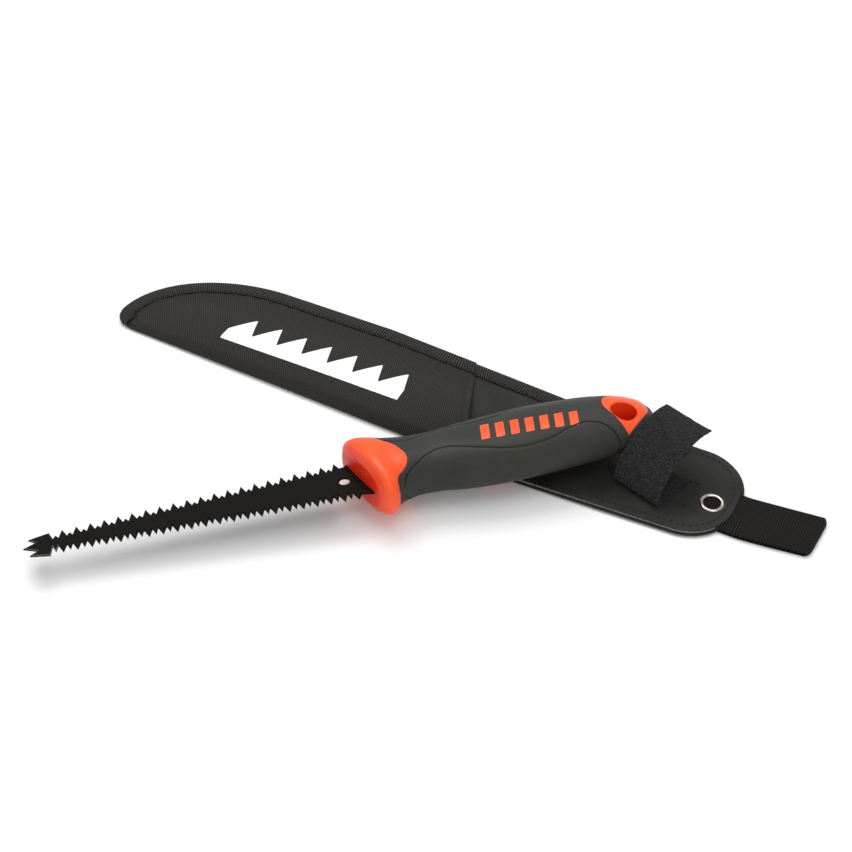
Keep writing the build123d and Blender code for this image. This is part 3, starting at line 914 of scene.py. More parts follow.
def make_handle():
    table, faces = handle_surface()
    points, groove, split, land = finish_handle(table, faces)
    flat = table[:, 3:5]
    plan = points[:, :2] - EYE
    hole = np.linalg.norm(plan, axis=1) - EYE_R - EYE_LIP
    bars = bar_field(flat)
    orange = np.minimum(np.minimum(split, land), bars)
    whole = np.concatenate([points, groove[:, None], normals_of(points, faces)], axis=1)
    face_list = [tuple(int(i) for i in f) for f in faces]
    grip, grip_faces = clip(whole, face_list, np.minimum(orange, hole))
    core, core_faces = clip(whole, face_list, np.minimum(-orange, hole))
    inner = grip[:, :3] - 1.5 * grip[:, 4:7]
    grip_points, grip_closed = thick(grip[:, :3], inner, grip_faces)
    lines = [groove_line(knots, side) for knots in (LOWER_GROOVE, UPPER_GROOVE) for side in (1, -1)]
    line_points, line_faces = join(lines)
    # painted shade: grooves darken by their profile, and the strips lying in them are fully dark
    painted_groove_shade = np.concatenate([grip[:, 3], grip[:, 3], np.ones(len(line_points))])
    grip_points, grip_closed = join([(grip_points, grip_closed), (line_points, line_faces)])
    black = make_object("soft_grip", saw_row(grip_points), grip_closed, GRIP, {"groove": painted_groove_shade})
    settle(black, "saw", "black_grip", "grip_overmould")
    core_inner = core[:, :3] - 1.5 * core[:, 4:7]
    shell = thick(core[:, :3], core_inner, core_faces)
    away = np.linalg.norm(core[:, :2] - EYE, axis=1) - EYE_R - EYE_LIP
    rim = core[abs(away) < 0.02, :3]
    core_points, core_closed = join([shell, eye_tube(1, rim), eye_tube(-1, rim)])
    # painted shade mask: guard faces turned toward the blade get the deep red, and the eye's lip and wall
    # get 0.6 of it
    ahead = smoothstep((-core[:, 4] - 0.72) / 0.2) * (core[:, 0] < 12)
    front = np.concatenate([ahead, ahead, np.full(len(core_points) - 2 * len(core), 0.6)])
    bright = make_object("handle_core_moulding", saw_row(core_points), core_closed, ORANGE,
                         {"front": front})
    settle(bright, "saw", "orange_plastic", "handle_core")


def along_line(line, share):
    return np.add(line[0], np.subtract(line[1], line[0]) * share)


def tooth_row(line, count, side, small_drop):
    """Big teeth, each with a smaller one ahead of it, from the blade's tip to the guard."""
    points = []
    for i in range(count):
        x, y = along_line(line, i / (count - 1))
        points.append((x - 0.7 * TOOTH_PITCH, y - side * TOOTH_DEPTH))
        points.append((x - 0.5 * TOOTH_PITCH, y - side * small_drop))
        points.append((x - 0.3 * TOOTH_PITCH, y - side * TOOTH_DEPTH))
        points.append((x, y))
    return points


def blade_outline():
    prongs = [
        (-140.2, 8.6), (-149.6, 6.5), (-146.2, 3.6), (-152.0, 0.9), (-145.5, -2.5), (-149.4, -5.0),
        (-140.5, -7.3),
    ]
    top = tooth_row(TOP_TIP_LINE, TOP_TEETH, 1, TOP_SMALL_DROP)
    bottom = tooth_row(BOTTOM_TIP_LINE, BOTTOM_TEETH, -1, BOTTOM_SMALL_DROP)
    root = [(-6.4, 11.6), (-4.0, 11.9), (-2.6, 14.2), (6.0, 14.2), (6.0, -12.2), (-0.6, -10.5)]
    return prongs[::-1] + top + root + bottom[::-1]


def flat_plate(name, outline, hole, hole_r, thickness, bevel):
    """Plate with bevelled edges from a 2-D curve, converted to a mesh; in the saw's own millimetres."""
    curve = bpy.data.curves.new(name, "CURVE")
    curve.dimensions = "2D"
    curve.fill_mode = "BOTH"
    curve.extrude = thickness / 2 - bevel
    curve.bevel_depth = bevel
    curve.bevel_resolution = 0
    curve.offset = -bevel
    turn = np.linspace(0, 2 * math.pi, 48, endpoint=False)
    ring = [(hole[0] + hole_r * math.cos(a), hole[1] + hole_r * math.sin(a)) for a in turn]
    for line in (outline, ring):
        spline = curve.splines.new("POLY")
        spline.points.add(len(line) - 1)
        for p, (x, y) in zip(spline.points, line):
            p.co = (x, y, 0, 1)
        spline.use_cyclic_u = True
    holder = bpy.data.objects.new(name + "_curve", curve)
    mesh = bpy.data.meshes.new_from_object(holder)
    points = np.array([v.co for v in mesh.vertices])
    faces = [tuple(p.vertices) for p in mesh.polygons]
    bpy.data.objects.remove(holder)
    return points, faces


def make_blade():
    bevel = 0.26
    points, faces = flat_plate("blade", blade_outline(), BLADE_HOLE, BLADE_HOLE_R, BLADE_THICK, bevel)
    blade = make_object("saw_blade", saw_row(points), faces, COATING, sharp=True)
    blade.data.materials.append(PRONG_HIGHLIGHT)
    # painted highlight: the prongs' sloped bevel faces on the near side (w above zero) take the lighter
    # grey second material
    for face in blade.data.polygons:
        corners = points[list(face.vertices)]
        sloped = corners[:, 2].max() - corners[:, 2].min() > bevel / 2
        if sloped and corners[:, 0].max() < TOP_TIP_LINE[0][0] - 1.5 and corners[:, 2].mean() > 0:
            face.material_index = 1
    weld(blade)
    settle(blade, "saw", "blade_coating", "blade")


def weld(piece, distance=1e-6):
    """Joins points that lie together, so that the mesh is one closed skin."""
    mesh = bmesh.new()
    mesh.from_mesh(piece.data)
    bmesh.ops.remove_doubles(mesh, verts=mesh.verts, dist=distance)
    bmesh.ops.recalc_face_normals(mesh, faces=mesh.faces)
    mesh.to_mesh(piece.data)
    mesh.free()


# ---------------------------------------------------------------- sheath panel
def near_edge(x, inset=0.0):
    """Y of the panel's near edge."""
    xs = [TOE[0], NEAR_TIP[0], NEAR_MOUTH[0], NEAR_BEND[0], NEAR_END[0]]
    ys = [TOE[1], NEAR_TIP[1], NEAR_MOUTH[1], NEAR_BEND[1], NEAR_END[1]]
    left = TIP_CENTRE[0] - TIP_A
    y = np.interp(x, [left, *xs], [TIP_CENTRE[1], *ys])
    back = np.clip(x - NEAR_END[0], 0, END_R - inset)
    radius = END_R - inset
    corner = NEAR_END[1] + inset + radius - np.sqrt(np.maximum(radius**2 - back**2, 0))
    return np.where(x > NEAR_END[0], corner, y + inset)


def far_edge(x, inset=0.0):
    """Y of the panel's far edge."""
    reach = (x - TIP_CENTRE[0]) / (TIP_A - inset)
    tip = TIP_CENTRE[1] + (TIP_B - inset) * np.sqrt(np.clip(1 - reach**2, 0, 1))
    crown_x = [TIP_CENTRE[0], FAR_CROWN[0], FAR_MOUTH[0], FAR_BEND[0], FAR_END[0]]
    crown_y = [TIP_CENTRE[1] + TIP_B, FAR_CROWN[1] + 0.6, FAR_MOUTH[1], FAR_BEND[1], FAR_END[1]]
    crown = np.interp(x, crown_x, crown_y) - inset
    radius = END_R - inset
    back = np.clip(x - FAR_END[0], 0, radius)
    corner = FAR_END[1] - inset - radius + np.sqrt(np.maximum(radius**2 - back**2, 0))
    y = np.where(x < TIP_CENTRE[0], tip, crown)
    return np.where(x > FAR_END[0], corner, y)


def panel_columns(inset, step):
    """X of the mesh's lines across the panel, closer together at the rounded ends."""
    left = TIP_CENTRE[0] - TIP_A + inset
    angle = np.linspace(0, math.pi / 2, 60)
    tip = left + (TIP_A - inset) * (1 - np.cos(angle)) * 0.35
    radius = END_R - inset
    end = END_X - inset - radius * (1 - np.cos(angle[::-1]))
    middle = np.arange(tip[-1] + step, end[0] - step / 2, step)
    return np.concatenate([tip, middle, end])


def panel_patch(inset, step, rows):
    """Flat grid over the panel's plan, drawn in by the inset, with closer lines along its edges."""
    xs = panel_columns(inset, step)
    share = np.concatenate([[0, 0.004, 0.012], np.linspace(0.03, 0.97, rows), [0.988, 0.996, 1]])
    low, high = near_edge(xs, inset), far_edge(xs, inset)
    high = np.maximum(high, low + 0.01)
    y = low[:, None] + (high - low)[:, None] * share[None, :]
    x = np.repeat(xs[:, None], len(share), axis=1)
    table = np.stack([x.ravel(), y.ravel()], 1)
    rim = np.minimum(share, 1 - share)[None, :] * (high - low)[:, None]
    ends = np.minimum(xs - xs[0], xs[-1] - xs)[:, None]
    rim = np.minimum(rim, np.maximum(ends, 0.0))
    faces = [tuple(int(i) for i in f) for f in grid_faces(len(xs), len(share))]
    return np.concatenate([table, rim.reshape(-1, 1)], axis=1), faces


def make_layer(name, node, slot_name, material, inset, low, high, waves, step=2.0, rows=30):
    """One sheet of the panel, slightly wavy, with a softened rim and a hole at the eyelet."""
    table, faces = panel_patch(inset, step, rows)
    hole = np.hypot(table[:, 0] - EYELET[0], table[:, 1] - EYELET[1]) - EYELET_R - 0.4
    table, faces = clip(table, faces, hole)
    plan, rim = table[:, :2], table[:, 2]
    soft = 0.18 * np.exp(-rim / 0.25)
    swell = waves * ripple(plan, 55.0, 11) * smoothstep(rim / 6.0)
    top = np.column_stack([plan, high - soft + np.minimum(swell, waves)])
    bottom = np.column_stack([plan, low + soft * 0.5])
    points, closed = thick(top, bottom, faces)
    piece = make_object(name, row(points), closed, material, {"cloth": points})
    settle(piece, "root", slot_name, node)
    return piece


def make_panel():
    make_layer("woven_back", "back_cover", "woven_nylon", WOVEN, 0.0, COVER_Z, BOARD_Z - 0.02, 0.0)
    make_layer("stiffener_board", "panel_stiffener", "pale_board", BOARD,
               LAYER_INSET, BOARD_Z, LINING_Z, 0.0)
    make_layer("vinyl_lining", "panel_lining", "vinyl", VINYL,
               LAYER_INSET, LINING_Z + 0.02, PANEL_TOP, 0.14,
               step=1.2, rows=52)


# ---------------------------------------------------------------- pocket
POCKET_LEFT = -176.5
POCKET_COLUMNS = 420
POCKET_ROWS = 150
UNDERFOLD_Y = -3.0


def pocket_crown(x, y):
    """Height of the pocket's outer face, before its edge along the binding is drawn down."""
    high = np.interp(x, POCKET_X, POCKET_HIGH)
    near = near_edge(x) - FRONT_THICK
    seam = POCKET_SEAM
    profile_y = np.stack([near, near + 4.5, near + 19.0, np.full_like(x, 29.0), np.full_like(x, 42.0)], 1)
    sinking = seam + 0.55 * (high - seam)
    profile_z = np.stack([0.30 * high, 0.74 * high, high, sinking, np.full_like(x, seam)], 1)
    z = np.zeros_like(x)
    slope = np.gradient(profile_z, axis=1) / np.gradient(profile_y, axis=1)
    slope[:, 0] = 1.25 * (profile_z[:, 1] - profile_z[:, 0]) / 4.5
    slope[:, 2] = 0.0
    slope[:, 4] = 0.0
    for k in range(4):
        a, b = profile_y[:, k], profile_y[:, k + 1]
        h = np.maximum(b - a, 1e-6)
        t = np.clip((y - a) / h, 0, 1)
        value = ((2 * t**3 - 3 * t**2 + 1) * profile_z[:, k] + (t**3 - 2 * t**2 + t) * h * slope[:, k]
                 + (3 * t**2 - 2 * t**3) * profile_z[:, k + 1] + (t**3 - t**2) * h * slope[:, k + 1])
        z = np.where((y >= a) | (k == 0), value, z)
    return z


def pocket_height(x, y):
    """Height of the pocket's outer face with its edges sewn down and the cloth's slack."""
    x, y = np.asarray(x, float), np.asarray(y, float)
    z = pocket_crown(x, y)
    inward = (far_edge(x) - y) * 0.85
    tip = (x - (TIP_CENTRE[0] - TIP_A)) * 0.8
    rise = smoothstep((np.minimum(inward, tip) - 5.0) / 22.0)
    z = POCKET_SEAM + (z - POCKET_SEAM) * np.where(z > POCKET_SEAM, rise, 1.0)
    plan = np.stack([x, y], 1)
    slack = 0.32 * ripple(plan, 95.0, 3, 2) * rise
    pucker = 0.16 * np.sin(x * 0.75 + 1.3 * ripple(plan, 30.0, 5, 2)) * np.exp(-((inward - 8.5) / 5.0) ** 2)
    return z + slack + pucker * (inward > 3)


def mouth_x(y):
    return MOUTH_FAR[0] + (MOUTH_FAR[1] - y) * MOUTH_SLOPE


def pocket_plan(q, t):
    """Plan position for shares along and across the pocket."""
    far_inset = 1.2
    x0 = POCKET_LEFT + q * (MOUTH_FAR[0] - POCKET_LEFT)
    y0 = near_edge(x0) + t * (far_edge(x0) - far_inset - near_edge(x0))
    x = POCKET_LEFT + q * (mouth_x(y0) - POCKET_LEFT)
    low = near_edge(x) - FRONT_THICK
    y = low + t * (far_edge(x) - far_inset - low)
    return x, y


def pocket_surface():
    """Grid of the folded front: from under the panel, round the near edge, to the far seam."""
    q = np.linspace(0, 1, POCKET_COLUMNS)
    t = np.linspace(0, 1, POCKET_ROWS)
    qq, tt = np.meshgrid(q, t, indexing="ij")
    x, y = pocket_plan(qq.ravel(), tt.ravel())
    z = pocket_height(x, y)
    top = np.stack([x, y, z], 1).reshape(POCKET_COLUMNS, POCKET_ROWS, 3)
    edge = top[:, 0]
    under = []
    flat_part = [(back, 0.42) for back in (9.0, 7.0, 5.0, 3.0, 1.8)]
    for back, height in flat_part + [(0.9, 0.46), (0.35, 0.66)]:
        y_under = np.minimum(edge[:, 1] + back, UNDERFOLD_Y)
        under.append(np.stack([edge[:, 0], y_under, np.full(len(edge), height)], 1))
    for share in (0.35, 0.6, 0.82):
        rise = edge.copy()
        rise[:, 2] = 0.66 + (edge[:, 2] - 0.66) * share
        rise[:, 1] = edge[:, 1] + 0.12 * (1 - share)
        under.append(rise)
    sheet_points = np.concatenate([np.stack(under, 1), top], axis=1)
    return sheet_points


def make_pocket():
    """The pocket front as one cloth: its outer face, its inner face and its rim."""
    surface = pocket_surface()
    rows, columns = surface.shape[:2]
    points = surface.reshape(-1, 3)
    faces = [tuple(int(i) for i in f) for f in grid_faces(rows, columns)]
    normals = normals_of(points, faces)
    gap = np.concatenate([np.zeros((rows, 1)), np.linalg.norm(np.diff(surface, axis=1), axis=2)], axis=1)
    across = np.cumsum(gap, axis=1).ravel()
    cloth = np.column_stack([points[:, 0], across, np.zeros(len(points))])
    inner = points - normals * 0.45
    shell, closed = thick(points, inner, faces)
    front = make_object("pocket_cloth", row(shell), closed, WOVEN, {"cloth": np.vstack([cloth, cloth])})
    settle(front, "root", "woven_nylon", "pocket_front")


def make_hem():
    """The mouth's turned-over edge: a second thickness along the mouth line."""
    ys = np.linspace(near_edge(np.array([26.0]))[0] - 0.2, 38.6, 170)
    loop_in = np.concatenate([np.linspace(0, HEM_WIDTH, 14), np.linspace(HEM_WIDTH, 0, 14)])
    roll = 0.62 * np.sin(np.linspace(0.25, math.pi - 0.35, 14)) ** 0.35
    lift = np.concatenate([roll, np.full(14, -0.25)])
    x = mouth_x(ys)[:, None] + 0.25 - loop_in[None, :]
    y = np.repeat(ys[:, None], 28, axis=1)
    z = pocket_height(np.minimum(x, mouth_x(y)).ravel(), y.ravel()).reshape(x.shape) + lift[None, :]
    points = np.stack([x, y, z], -1).reshape(-1, 3)
    cloth = np.column_stack([points[:, 1], points[:, 0], np.zeros(len(points))])
    hem = make_object("mouth_hem_fold", row(points), capped(len(ys), 28), WOVEN, {"cloth": cloth})
    weld(hem)
    settle(hem, "root", "woven_nylon", "mouth_hem")
    line_y = np.linspace(ys[3], ys[-4], 300)
    line_x = mouth_x(line_y) - 3.3
    line = np.stack([line_x, line_y, pocket_height(line_x, line_y) + 0.5], 1)
    return stitches(line)


PRINT_LEFT = -119.0
PRINT_PITCH = 14.6
PRINT_TEETH = 7
PRINT_LOW = 1.6
PRINT_BAND = 7.2
PRINT_HIGH = 21.5
PRINT_LEAN = 3.4


def make_print():
    """Plain row of big saw teeth on a band, as white ink on the pocket."""
    corners = [(PRINT_LEFT, PRINT_LOW)]
    right = PRINT_LEFT + PRINT_TEETH * PRINT_PITCH
    corners.append((right, PRINT_LOW))
    for k in reversed(range(PRINT_TEETH)):
        x = PRINT_LEFT + k * PRINT_PITCH
        corners.append((x + PRINT_PITCH, PRINT_LOW + PRINT_BAND))
        corners.append((x + PRINT_PITCH * 0.5 + PRINT_LEAN, PRINT_HIGH))
        corners.append((x + 0.6, PRINT_LOW + PRINT_BAND))
    xs = np.arange(PRINT_LEFT - 1, right + 1, 0.5)
    ys = np.arange(PRINT_LOW - 1, PRINT_HIGH + 1, 0.5)
    xx, yy = np.meshgrid(xs, ys, indexing="ij")
    plan = np.stack([xx.ravel(), yy.ravel()], 1)
    faces = [tuple(int(i) for i in f) for f in grid_faces(len(xs), len(ys))]
    plan, faces = clip(plan, faces, -polygon_field(plan, corners))
    z = pocket_height(plan[:, 0], plan[:, 1])
    top = np.column_stack([plan, z + 0.07])
    bottom = np.column_stack([plan, z - 0.05])
    points, closed = thick(top, bottom, faces)
    ink = make_object("pocket_print", row(points), closed, PRINT, {"cloth": points})
    settle(ink, "root", "woven_nylon")


# ---------------------------------------------------------------- bindings
RIB_PITCH = 1.25


def far_path(x_from, x_to):
    """Points along the panel's outer edge from the toe, round the tip and on to the mouth or beyond."""
    angle = np.linspace(math.pi, math.pi / 2, 160)
    tip = np.stack([TIP_CENTRE[0] + TIP_A * np.cos(angle), TIP_CENTRE[1] + TIP_B * np.sin(angle)], 1)
    xs = np.arange(TIP_CENTRE[0] + 2, x_to + 3, 2.0)
    rest = np.stack([xs, far_edge(xs)], 1)
    toe = np.array([(-170.5, -7.2), (-174.0, -6.4), (-176.6, -4.6)])
    path = np.vstack([toe, tip[3:], rest])
    path = even(path, RIB_PITCH / 5)
    keep = (path[:, 0] >= x_from) & (path[:, 0] <= x_to) | (path[:, 1] < 0) & (x_from < -170)
    path = path[keep]
    for _ in range(16):
        path[1:-1] = (path[:-2] + 2 * path[1:-1] + path[2:]) / 4
    return path


def toe_fan(path, outward):
    """Inward direction and reach of the tape's legs, which fan round one point at the sharp toe."""
    to_pivot = np.array([-168.0, 0.5]) - path
    distance = np.linalg.norm(to_pivot, axis=1)
    fan = smoothstep((7.0 - path[:, 1]) / 6.0) * (path[:, 0] < -150)
    inward = -outward * (1 - fan)[:, None] + to_pivot / distance[:, None] * fan[:, None]
    inward /= np.linalg.norm(inward, axis=1, keepdims=True)
    reach = 1 - fan + fan * np.minimum(1.0, 0.94 * distance / BINDING_WIDTH)
    return inward, reach


def make_binding(name, node, x_from, x_to, top_z, lean_at_end):
    """Ribbed tape folded over the edge, swept along it as a C-shaped section."""
    path = far_path(x_from, x_to)
    way = tangents(path)
    for _ in range(80):
        way[1:-1] = (way[:-2] + way[1:-1] + way[2:]) / 3
    way /= np.linalg.norm(way, axis=1, keepdims=True)
    outward = np.stack([-way[:, 1], way[:, 0]], 1)
    leg = BINDING_WIDTH
    z_hi = top_z + 0.68
    turn = np.linspace(0, 1, 9)
    outer_top = [(leg, z_hi - 0.28), (leg - 0.12, z_hi - 0.02)]
    outer_top += [(i, z_hi) for i in (6.4, 5.2, 4.0, 2.8, 1.6, 0.8)]
    wall = [(-0.62 * math.sin(a * math.pi) ** 0.6 if 0 < a < 1 else 0.0,
             z_hi - 0.05 - (z_hi - 0.35) * a) for a in turn]
    outer_low = [(i, 0.3) for i in (0.8, 2.4, 4.2, 6.0, leg)]
    inner = [(leg, 0.95), (4.0, 0.95), (0.3, 0.98), (0.05, 1.3), (0.05, top_z - 0.15), (0.3, top_z + 0.05),
             (4.0, top_z + 0.05), (leg, top_z + 0.05)]
    loop = np.array(outer_top + wall + outer_low + inner)
    inner_count = len(inner)
    run = np.arange(len(path)) * RIB_PITCH / 5
    rib = 0.5 + 0.5 * np.cos(2 * math.pi * run / RIB_PITCH)
    wave = 0.16 * ripple(run[:, None], 22.0, 21, 2)
    inset = np.tile(loop[:, 0], (len(path), 1))
    z = np.tile(loop[:, 1], (len(path), 1))
    bump = np.zeros(len(loop))
    bump[:-inner_count] = 1.0
    on_top = np.zeros(len(loop))
    on_top[: len(outer_top)] = 1.0
    on_wall = np.zeros(len(loop))
    on_wall[len(outer_top): len(outer_top) + len(wall)] = 1.0
    on_leg = (loop[:, 0] > 5.0) * on_top
    z = z + 0.16 * rib[:, None] * on_top + wave[:, None] * on_top * 0.5
    z = z + 0.35 * np.exp(-((loop[:, 0] - 3.2) / 2.2) ** 2) * on_top
    inset = inset - 0.13 * rib[:, None] * on_wall + wave[:, None] * on_leg * 1.4
    skew = lean_at_end(path)[:, None]
    inward, reach = toe_fan(path, outward)
    plan = path[:, None, :] + inward[:, None, :] * (inset * reach[:, None])[..., None]
    plan = plan + way[:, None, :] * (inset * skew)[..., None]
    points = np.concatenate([plan, z[..., None]], -1)
    rows, columns = points.shape[:2]
    ribs = np.repeat(rib, columns) * np.tile(bump, rows)
    across = np.tile(np.arange(columns) * 0.9, rows)
    cloth = np.stack([np.repeat(run, columns), across, np.zeros(rows * columns)], 1)
    tape = make_object(name, row(points), capped(rows, columns), TAPE, {"cloth": cloth, "rib": ribs})
    weld(tape)
    settle(tape, "root", "edge_tape", node)
    line = path + inward * ((leg - 1.1) * reach)[:, None]
    height = np.full(len(path), top_z + 0.8)
    return stitches(np.column_stack([line, height]))


def make_bindings():
    def to_mouth(path):
        return smoothstep((path[:, 0] + 18.0) / 20.0) * MOUTH_SLOPE

    def from_mouth(path):
        return smoothstep((24.0 - path[:, 0]) / 16.0) * MOUTH_SLOPE

    seams = [
        make_binding("pocket_edge_tape", "pocket_binding", -200.0, 4.1, PANEL_TOP + FRONT_THICK, to_mouth),
        make_binding("rear_edge_tape", "rear_binding", 4.2, REAR_BINDING_END, PANEL_TOP, from_mouth),
    ]
    return seams


def panel_seam():
    """Stitch line inside the lining's edge: along the near side, round the end and back."""
    xs_near = np.linspace(32.0, END_X - 4.6 - 0.01, 700)
    inset = 4.6
    near = np.stack([xs_near, near_edge(xs_near, inset)], 1)
    xs_far = np.linspace(END_X - 4.6 - 0.01, REAR_BINDING_END + 2, 400)
    far = np.stack([xs_far, far_edge(xs_far, inset)], 1)
    line = even(np.vstack([near, far]), 0.8)
    return stitches(np.column_stack([line, np.full(len(line), PANEL_TOP + 0.02)]))


def box_seam():
    """What shows of the belt loop's box stitching on the lining."""
    rows = []
    for y in (6.0, 22.0):
        xs = np.linspace(123.6, 133.4, 40)
        line = np.column_stack([xs, np.full(40, y), np.full(40, PANEL_TOP + 0.02)])
        rows.append(stitches(line, length=2.4, gap=0.8, radius=0.24))
    return rows


def make_seams(seams):
    points, faces = join(seams + [panel_seam()])
    thread = make_object("sheath_seams", row(points), faces, THREAD)
    settle(thread, "root", "thread")
    points, faces = join(box_seam())
    box = make_object("box_seam", row(points), faces, THREAD)
    settle(box, "root", "thread", "belt_loop_stitching")


# ---------------------------------------------------------------- eyelet
def make_eyelet():
    """Rolled nickel eyelet, turned about its axis."""
    inner = EYELET_R - 0.25
    mid = (inner + EYELET_FLANGE_R) / 2
    half = (EYELET_FLANGE_R - inner) / 2
    roll = [(mid + half * math.cos(a), PANEL_TOP + 0.1 + 0.58 * math.sin(a))
            for a in np.linspace(-0.3, math.pi, 18)]
    bore = [(inner, z) for z in np.linspace(PANEL_TOP, COVER_Z + 0.1, 6)]
    back = [(EYELET_R + 0.4, COVER_Z + 0.1), (EYELET_R + 0.4, PANEL_TOP - 0.1),
            (EYELET_FLANGE_R - 0.3, PANEL_TOP - 0.04)]
    profile = roll + bore + back
    turn = np.linspace(0, 2 * math.pi, EYELET_SIDES, endpoint=False)
    points = []
    for r, z in profile:
        x, y = EYELET[0] + r * np.cos(turn), EYELET[1] + r * np.sin(turn)
        points.append(np.stack([x, y, np.full(EYELET_SIDES, z)], 1))
    faces = grid_faces(len(profile), EYELET_SIDES, wrap=True)
    here = np.arange(EYELET_SIDES)
    ahead = np.roll(here, -1)
    last = (len(profile) - 1) * EYELET_SIDES
    closing = np.stack([ahead, here, here + last, ahead + last], 1)
    ring = make_object("rolled_eyelet", row(np.vstack(points)), np.vstack([faces, closing]), NICKEL)
    weld(ring)
    settle(ring, "root", "nickel", "eyelet_barrel")
    washer = frame["nodes"]["eyelet_washer"]
    washer.data.materials.clear()
    washer.data.materials.append(NICKEL)


# ---------------------------------------------------------------- webbing and strap
def web_path():
    """Centre line of the webbing, from its lower end to its upper end."""
    yaw = math.radians(WEB_YAW)
    start = np.array([WEB_ROOT + WEB_GAP, WEB_Y])
    radius = (WEB_HIGH_Z - WEB_LOW_Z) / 2
    way = np.array([math.cos(yaw), math.sin(yaw)])
    flat = WEB_FREE - radius - WEB_THICK / 2
    line = [(x, WEB_Y, WEB_LOW_Z) for x in np.linspace(WEB_START, WEB_ROOT - 1, 30)]
    line += [(*(start + way * d), WEB_LOW_Z) for d in np.linspace(0.5, flat, 24)]
    for a in np.linspace(-90, 90, 15)[1:-1]:
        d = flat + radius * math.cos(math.radians(a))
        line.append((*(start + way * d), WEB_LOW_Z + radius * (1 + math.sin(math.radians(a)))))
    line += [(*(start + way * d), WEB_HIGH_Z) for d in np.linspace(flat, 0.5, 24)]
    line += [(x, WEB_Y, WEB_HIGH_Z) for x in np.linspace(WEB_ROOT - 1, WEB_UPPER_START, 20)]
    return even(line, 0.2)


def make_webbing():
    path = web_path()
    turned = smoothstep((path[:, 0] - WEB_ROOT + 1.5) / 4.5) * math.radians(WEB_YAW)
    side = np.stack([-np.sin(turned), np.cos(turned), 0 * turned], 1)
    up = np.cross(tangents(path), side)
    loop = rounded_strip(WEB_WIDTH, WEB_THICK * 0.86, 0.8)
    run = np.arange(len(path)) * 0.2
    pitch = 1.2
    rib = abs(np.sin(math.pi * run / pitch)) ** 0.7
    edge_wave = 0.12 * np.sin(2 * math.pi * run / pitch)

    def wiggle(across, out):
        column = np.round(across / 0.8) % 2
        lift = rib[:, None] * (0.75 + 0.25 * column)
        return across + np.sign(across) * (abs(across) > WEB_WIDTH / 2 - 0.6) * edge_wave[:, None], \
            out + np.sign(out) * 0.09 * (lift - 0.3)

    points = swept(path, side, up, loop, wiggle)
    rows, columns = points.shape[:2]
    reach = np.clip((path[:, 0] - WEB_ROOT) / WEB_FREE, 0, 1) ** 2
    nearness = 0.5 - loop[:, 0] / WEB_WIDTH
    rounding = 1.6 * np.clip(abs(loop[:, 0]) / (WEB_WIDTH / 2), 0, 1) ** 8
    points[..., 0] -= reach[:, None] * (4.2 * nearness + rounding)[None, :]
    cloth = np.stack([np.repeat(run, columns), np.tile(loop[:, 0], rows), np.zeros(rows * columns)], 1)
    web = make_object("belt_loop_webbing", row(points), capped(rows, columns), WEBBING,
                      {"cloth": cloth, "rib": np.repeat(rib, columns)})
    weld(web)
    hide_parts("belt_loop", "belt_loop_lower_end", "belt_loop_upper_end")
    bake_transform(web)


LOOP_YARN_R = 0.055
HOOK_YARN_R = 0.09
STRAP_LINE = [
    (23.0, 4.05), (16.0, 4.05), (9.0, 4.05), (4.0, 4.05), (1.9, 4.3), (0.8, 5.1), (0.6, 6.2), (0.9, 10.0),
    (4.6, 17.2), (11.0, 23.8), (19.0, 27.8), (28.0, 28.8), (36.0, 27.4),
]


def strap_axes():
    yaw = math.radians(STRAP_YAW)
    side = np.array([math.cos(yaw), math.sin(yaw), 0.0])
    length = np.array([-math.sin(yaw), math.cos(yaw), 0.0])
    return side, length


def strap_place(l, z):
    side, length = strap_axes()
    base = np.array([*STRAP_BASE, 0.0])
    return base + np.outer(np.atleast_1d(l), length) + np.outer(np.atleast_1d(z), UP)


def make_strap():
    line = smooth_curve(STRAP_LINE, 0.35)
    path = strap_place(line[:, 0], line[:, 1])
    side = np.tile(strap_axes()[0], (len(path), 1))
    out = np.cross(side, tangents(path))
    loop = rounded_strip(STRAP_WIDTH, STRAP_THICK * 0.62, 0.4)
    run = np.arange(len(path)) * 0.35
    rows, columns = len(path), len(loop)
    flat = np.stack([np.repeat(run, columns), np.tile(loop[:, 0], rows), np.tile(loop[:, 1] * 9, rows)], 1)
    fuzz = (0.10 * ripple(flat, 1.7, 31, 3) + 0.05 * RNG.normal(size=rows * columns)).reshape(rows, columns)
    cut = 0.5 * ripple(loop[:, :1], 6.0, 33, 2) + 0.9 * smoothstep((loop[:, 0] - 9.5) / 3.5)
    end_pull = smoothstep((run - run[-1] + 5) / 5)

    def wiggle(across, lift):
        edge = abs(across) > STRAP_WIDTH / 2 - 0.6
        ragged = edge * 0.12 * ripple(run[:, None], 3.0, 37, 2)[:, None]
        return across + np.sign(across) * ragged, lift + np.sign(lift) * fuzz

    points = swept(path, side, out, loop, wiggle)
    along = tangents(path)
    points = points + along[:, None, :] * (end_pull[:, None] * cut[None, :])[..., None]
    strap = make_object("strap_tape", row(points), capped(rows, columns), LOOPS)
    weld(strap)
    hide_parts("strap_flap", "strap_tab")
    blend_strap(strap)
    make_strap_loops(path, side, out, run)


def fine_tube(line, radius, across, out):
    """Four-sided tube round a line: across and out are the directions of its corners."""
    turn = np.linspace(0, 2 * math.pi, 4, endpoint=False)[None, :, None]
    return (line[:, None, :] + radius * (np.cos(turn) * across + np.sin(turn) * out)).reshape(-1, 3)


def blend_strap(piece):
    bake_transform(piece)


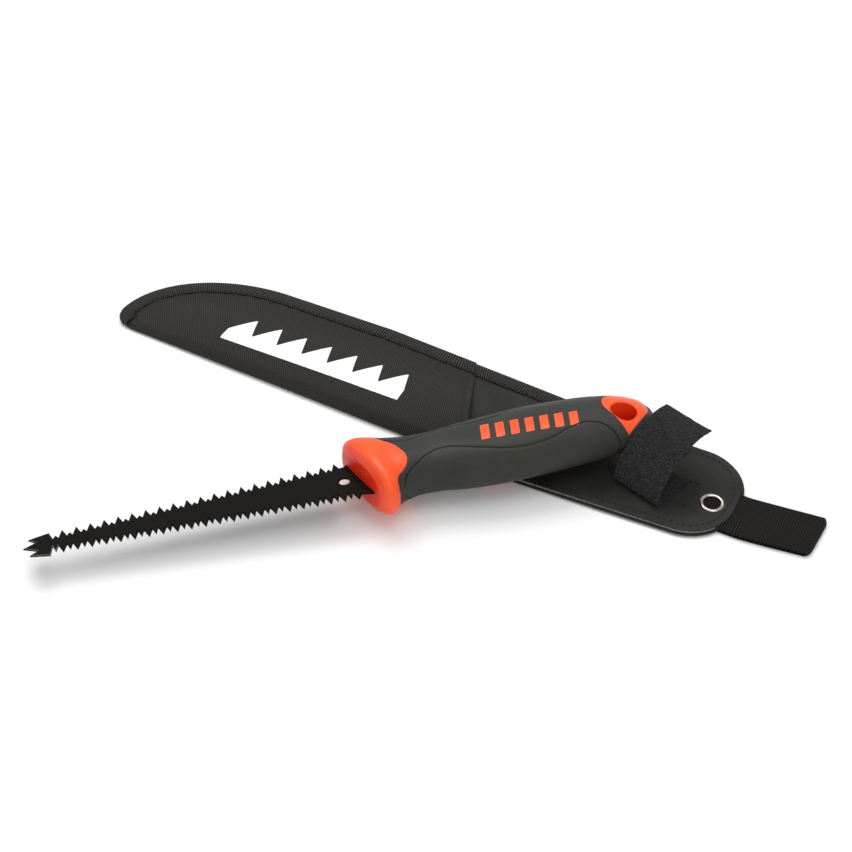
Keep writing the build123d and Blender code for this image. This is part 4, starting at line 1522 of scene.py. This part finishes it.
def make_strap_loops(path, side, out, run, count=3400):
    """Fine loops of yarn standing on the strap's fuzzy face and edges."""
    pick = RNG.uniform(10, len(path) - 3, count)
    across = RNG.uniform(-STRAP_WIDTH / 2 + 0.2, STRAP_WIDTH / 2 - 0.2, count)
    face = np.where(RNG.uniform(size=count) < 0.86, 1.0, -1.0)
    turn = RNG.uniform(0, math.pi, count)
    width = RNG.uniform(0.35, 0.8, count)
    high = RNG.uniform(0.28, 0.62, count)
    arc = np.linspace(0, math.pi, 6)
    points, faces = [], []
    way = tangents(path)
    for k in range(count):
        i = int(pick[k])
        centre = path[i] + side[i] * across[k] + out[i] * face[k] * STRAP_THICK * 0.3
        lean = math.cos(turn[k]) * way[i] + math.sin(turn[k]) * side[i]
        up = out[i] * face[k]
        line = centre + np.outer(np.cos(arc) * width[k] / 2, lean) + np.outer(np.sin(arc) * high[k], up)
        cross = np.cross(lean, up)
        spoke = np.outer(-np.cos(arc), lean) + np.outer(-np.sin(arc), up)
        base = k * 24
        points.append(fine_tube(line, LOOP_YARN_R, cross, spoke[:, None, :]))
        faces += [tuple(int(n) + base for n in f) for f in capped(6, 4)]
    loops = make_object("strap_loops", row(np.vstack(points)), faces, FUZZ)
    blend_strap(loops)
    return loops


def make_hook_tape():
    """Hook tape on the lining: a thin woven base with rows of small hooks."""
    side, length = strap_axes()
    loop = rounded_strip(HOOK_WIDTH, 0.6, 0.5)
    loop[:, 0] += HOOK_ACROSS
    lengths = np.arange(HOOK_START, HOOK_START + HOOK_LENGTH, 0.3)
    path = strap_place(lengths, np.full(len(lengths), PANEL_TOP + 0.34))
    sides = np.tile(side, (len(path), 1))
    ups = np.tile(UP, (len(path), 1))
    base = swept(path, sides, ups, loop)
    parts = [(base.reshape(-1, 3), capped(*base.shape[:2]))]
    bend_l = np.array([0.0, 0.0, 0.0, 0.08, 0.24, 0.34])
    bend_z = np.array([0.0, 0.25, 0.45, 0.62, 0.62, 0.42])
    for l in np.arange(HOOK_START + 0.8, HOOK_START + HOOK_LENGTH - 0.8, 1.25):
        for a in HOOK_ACROSS + np.arange(-HOOK_WIDTH / 2 + 0.9, HOOK_WIDTH / 2 - 0.8, 1.15):
            foot = strap_place(l, PANEL_TOP + 0.6)[0] + side * (a + RNG.uniform(-0.1, 0.1))
            line = foot + np.outer(bend_l, length) + np.outer(bend_z, UP)
            parts.append((fine_tube(line, HOOK_YARN_R, side, length), capped(len(bend_l), 4)))
    points, faces = join(parts)
    tape = make_object("hook_tape_pad", row(points), faces, HOOKS)
    settle(tape, "root", "hook_tape", "hook_tape")


# ---------------------------------------------------------------- making
make_camera()
make_stage()
make_blade()
make_handle()
make_panel()
make_pocket()
make_print()
make_seams(make_bindings() + [make_hem()])
make_eyelet()
make_webbing()
make_strap()
make_hook_tape()
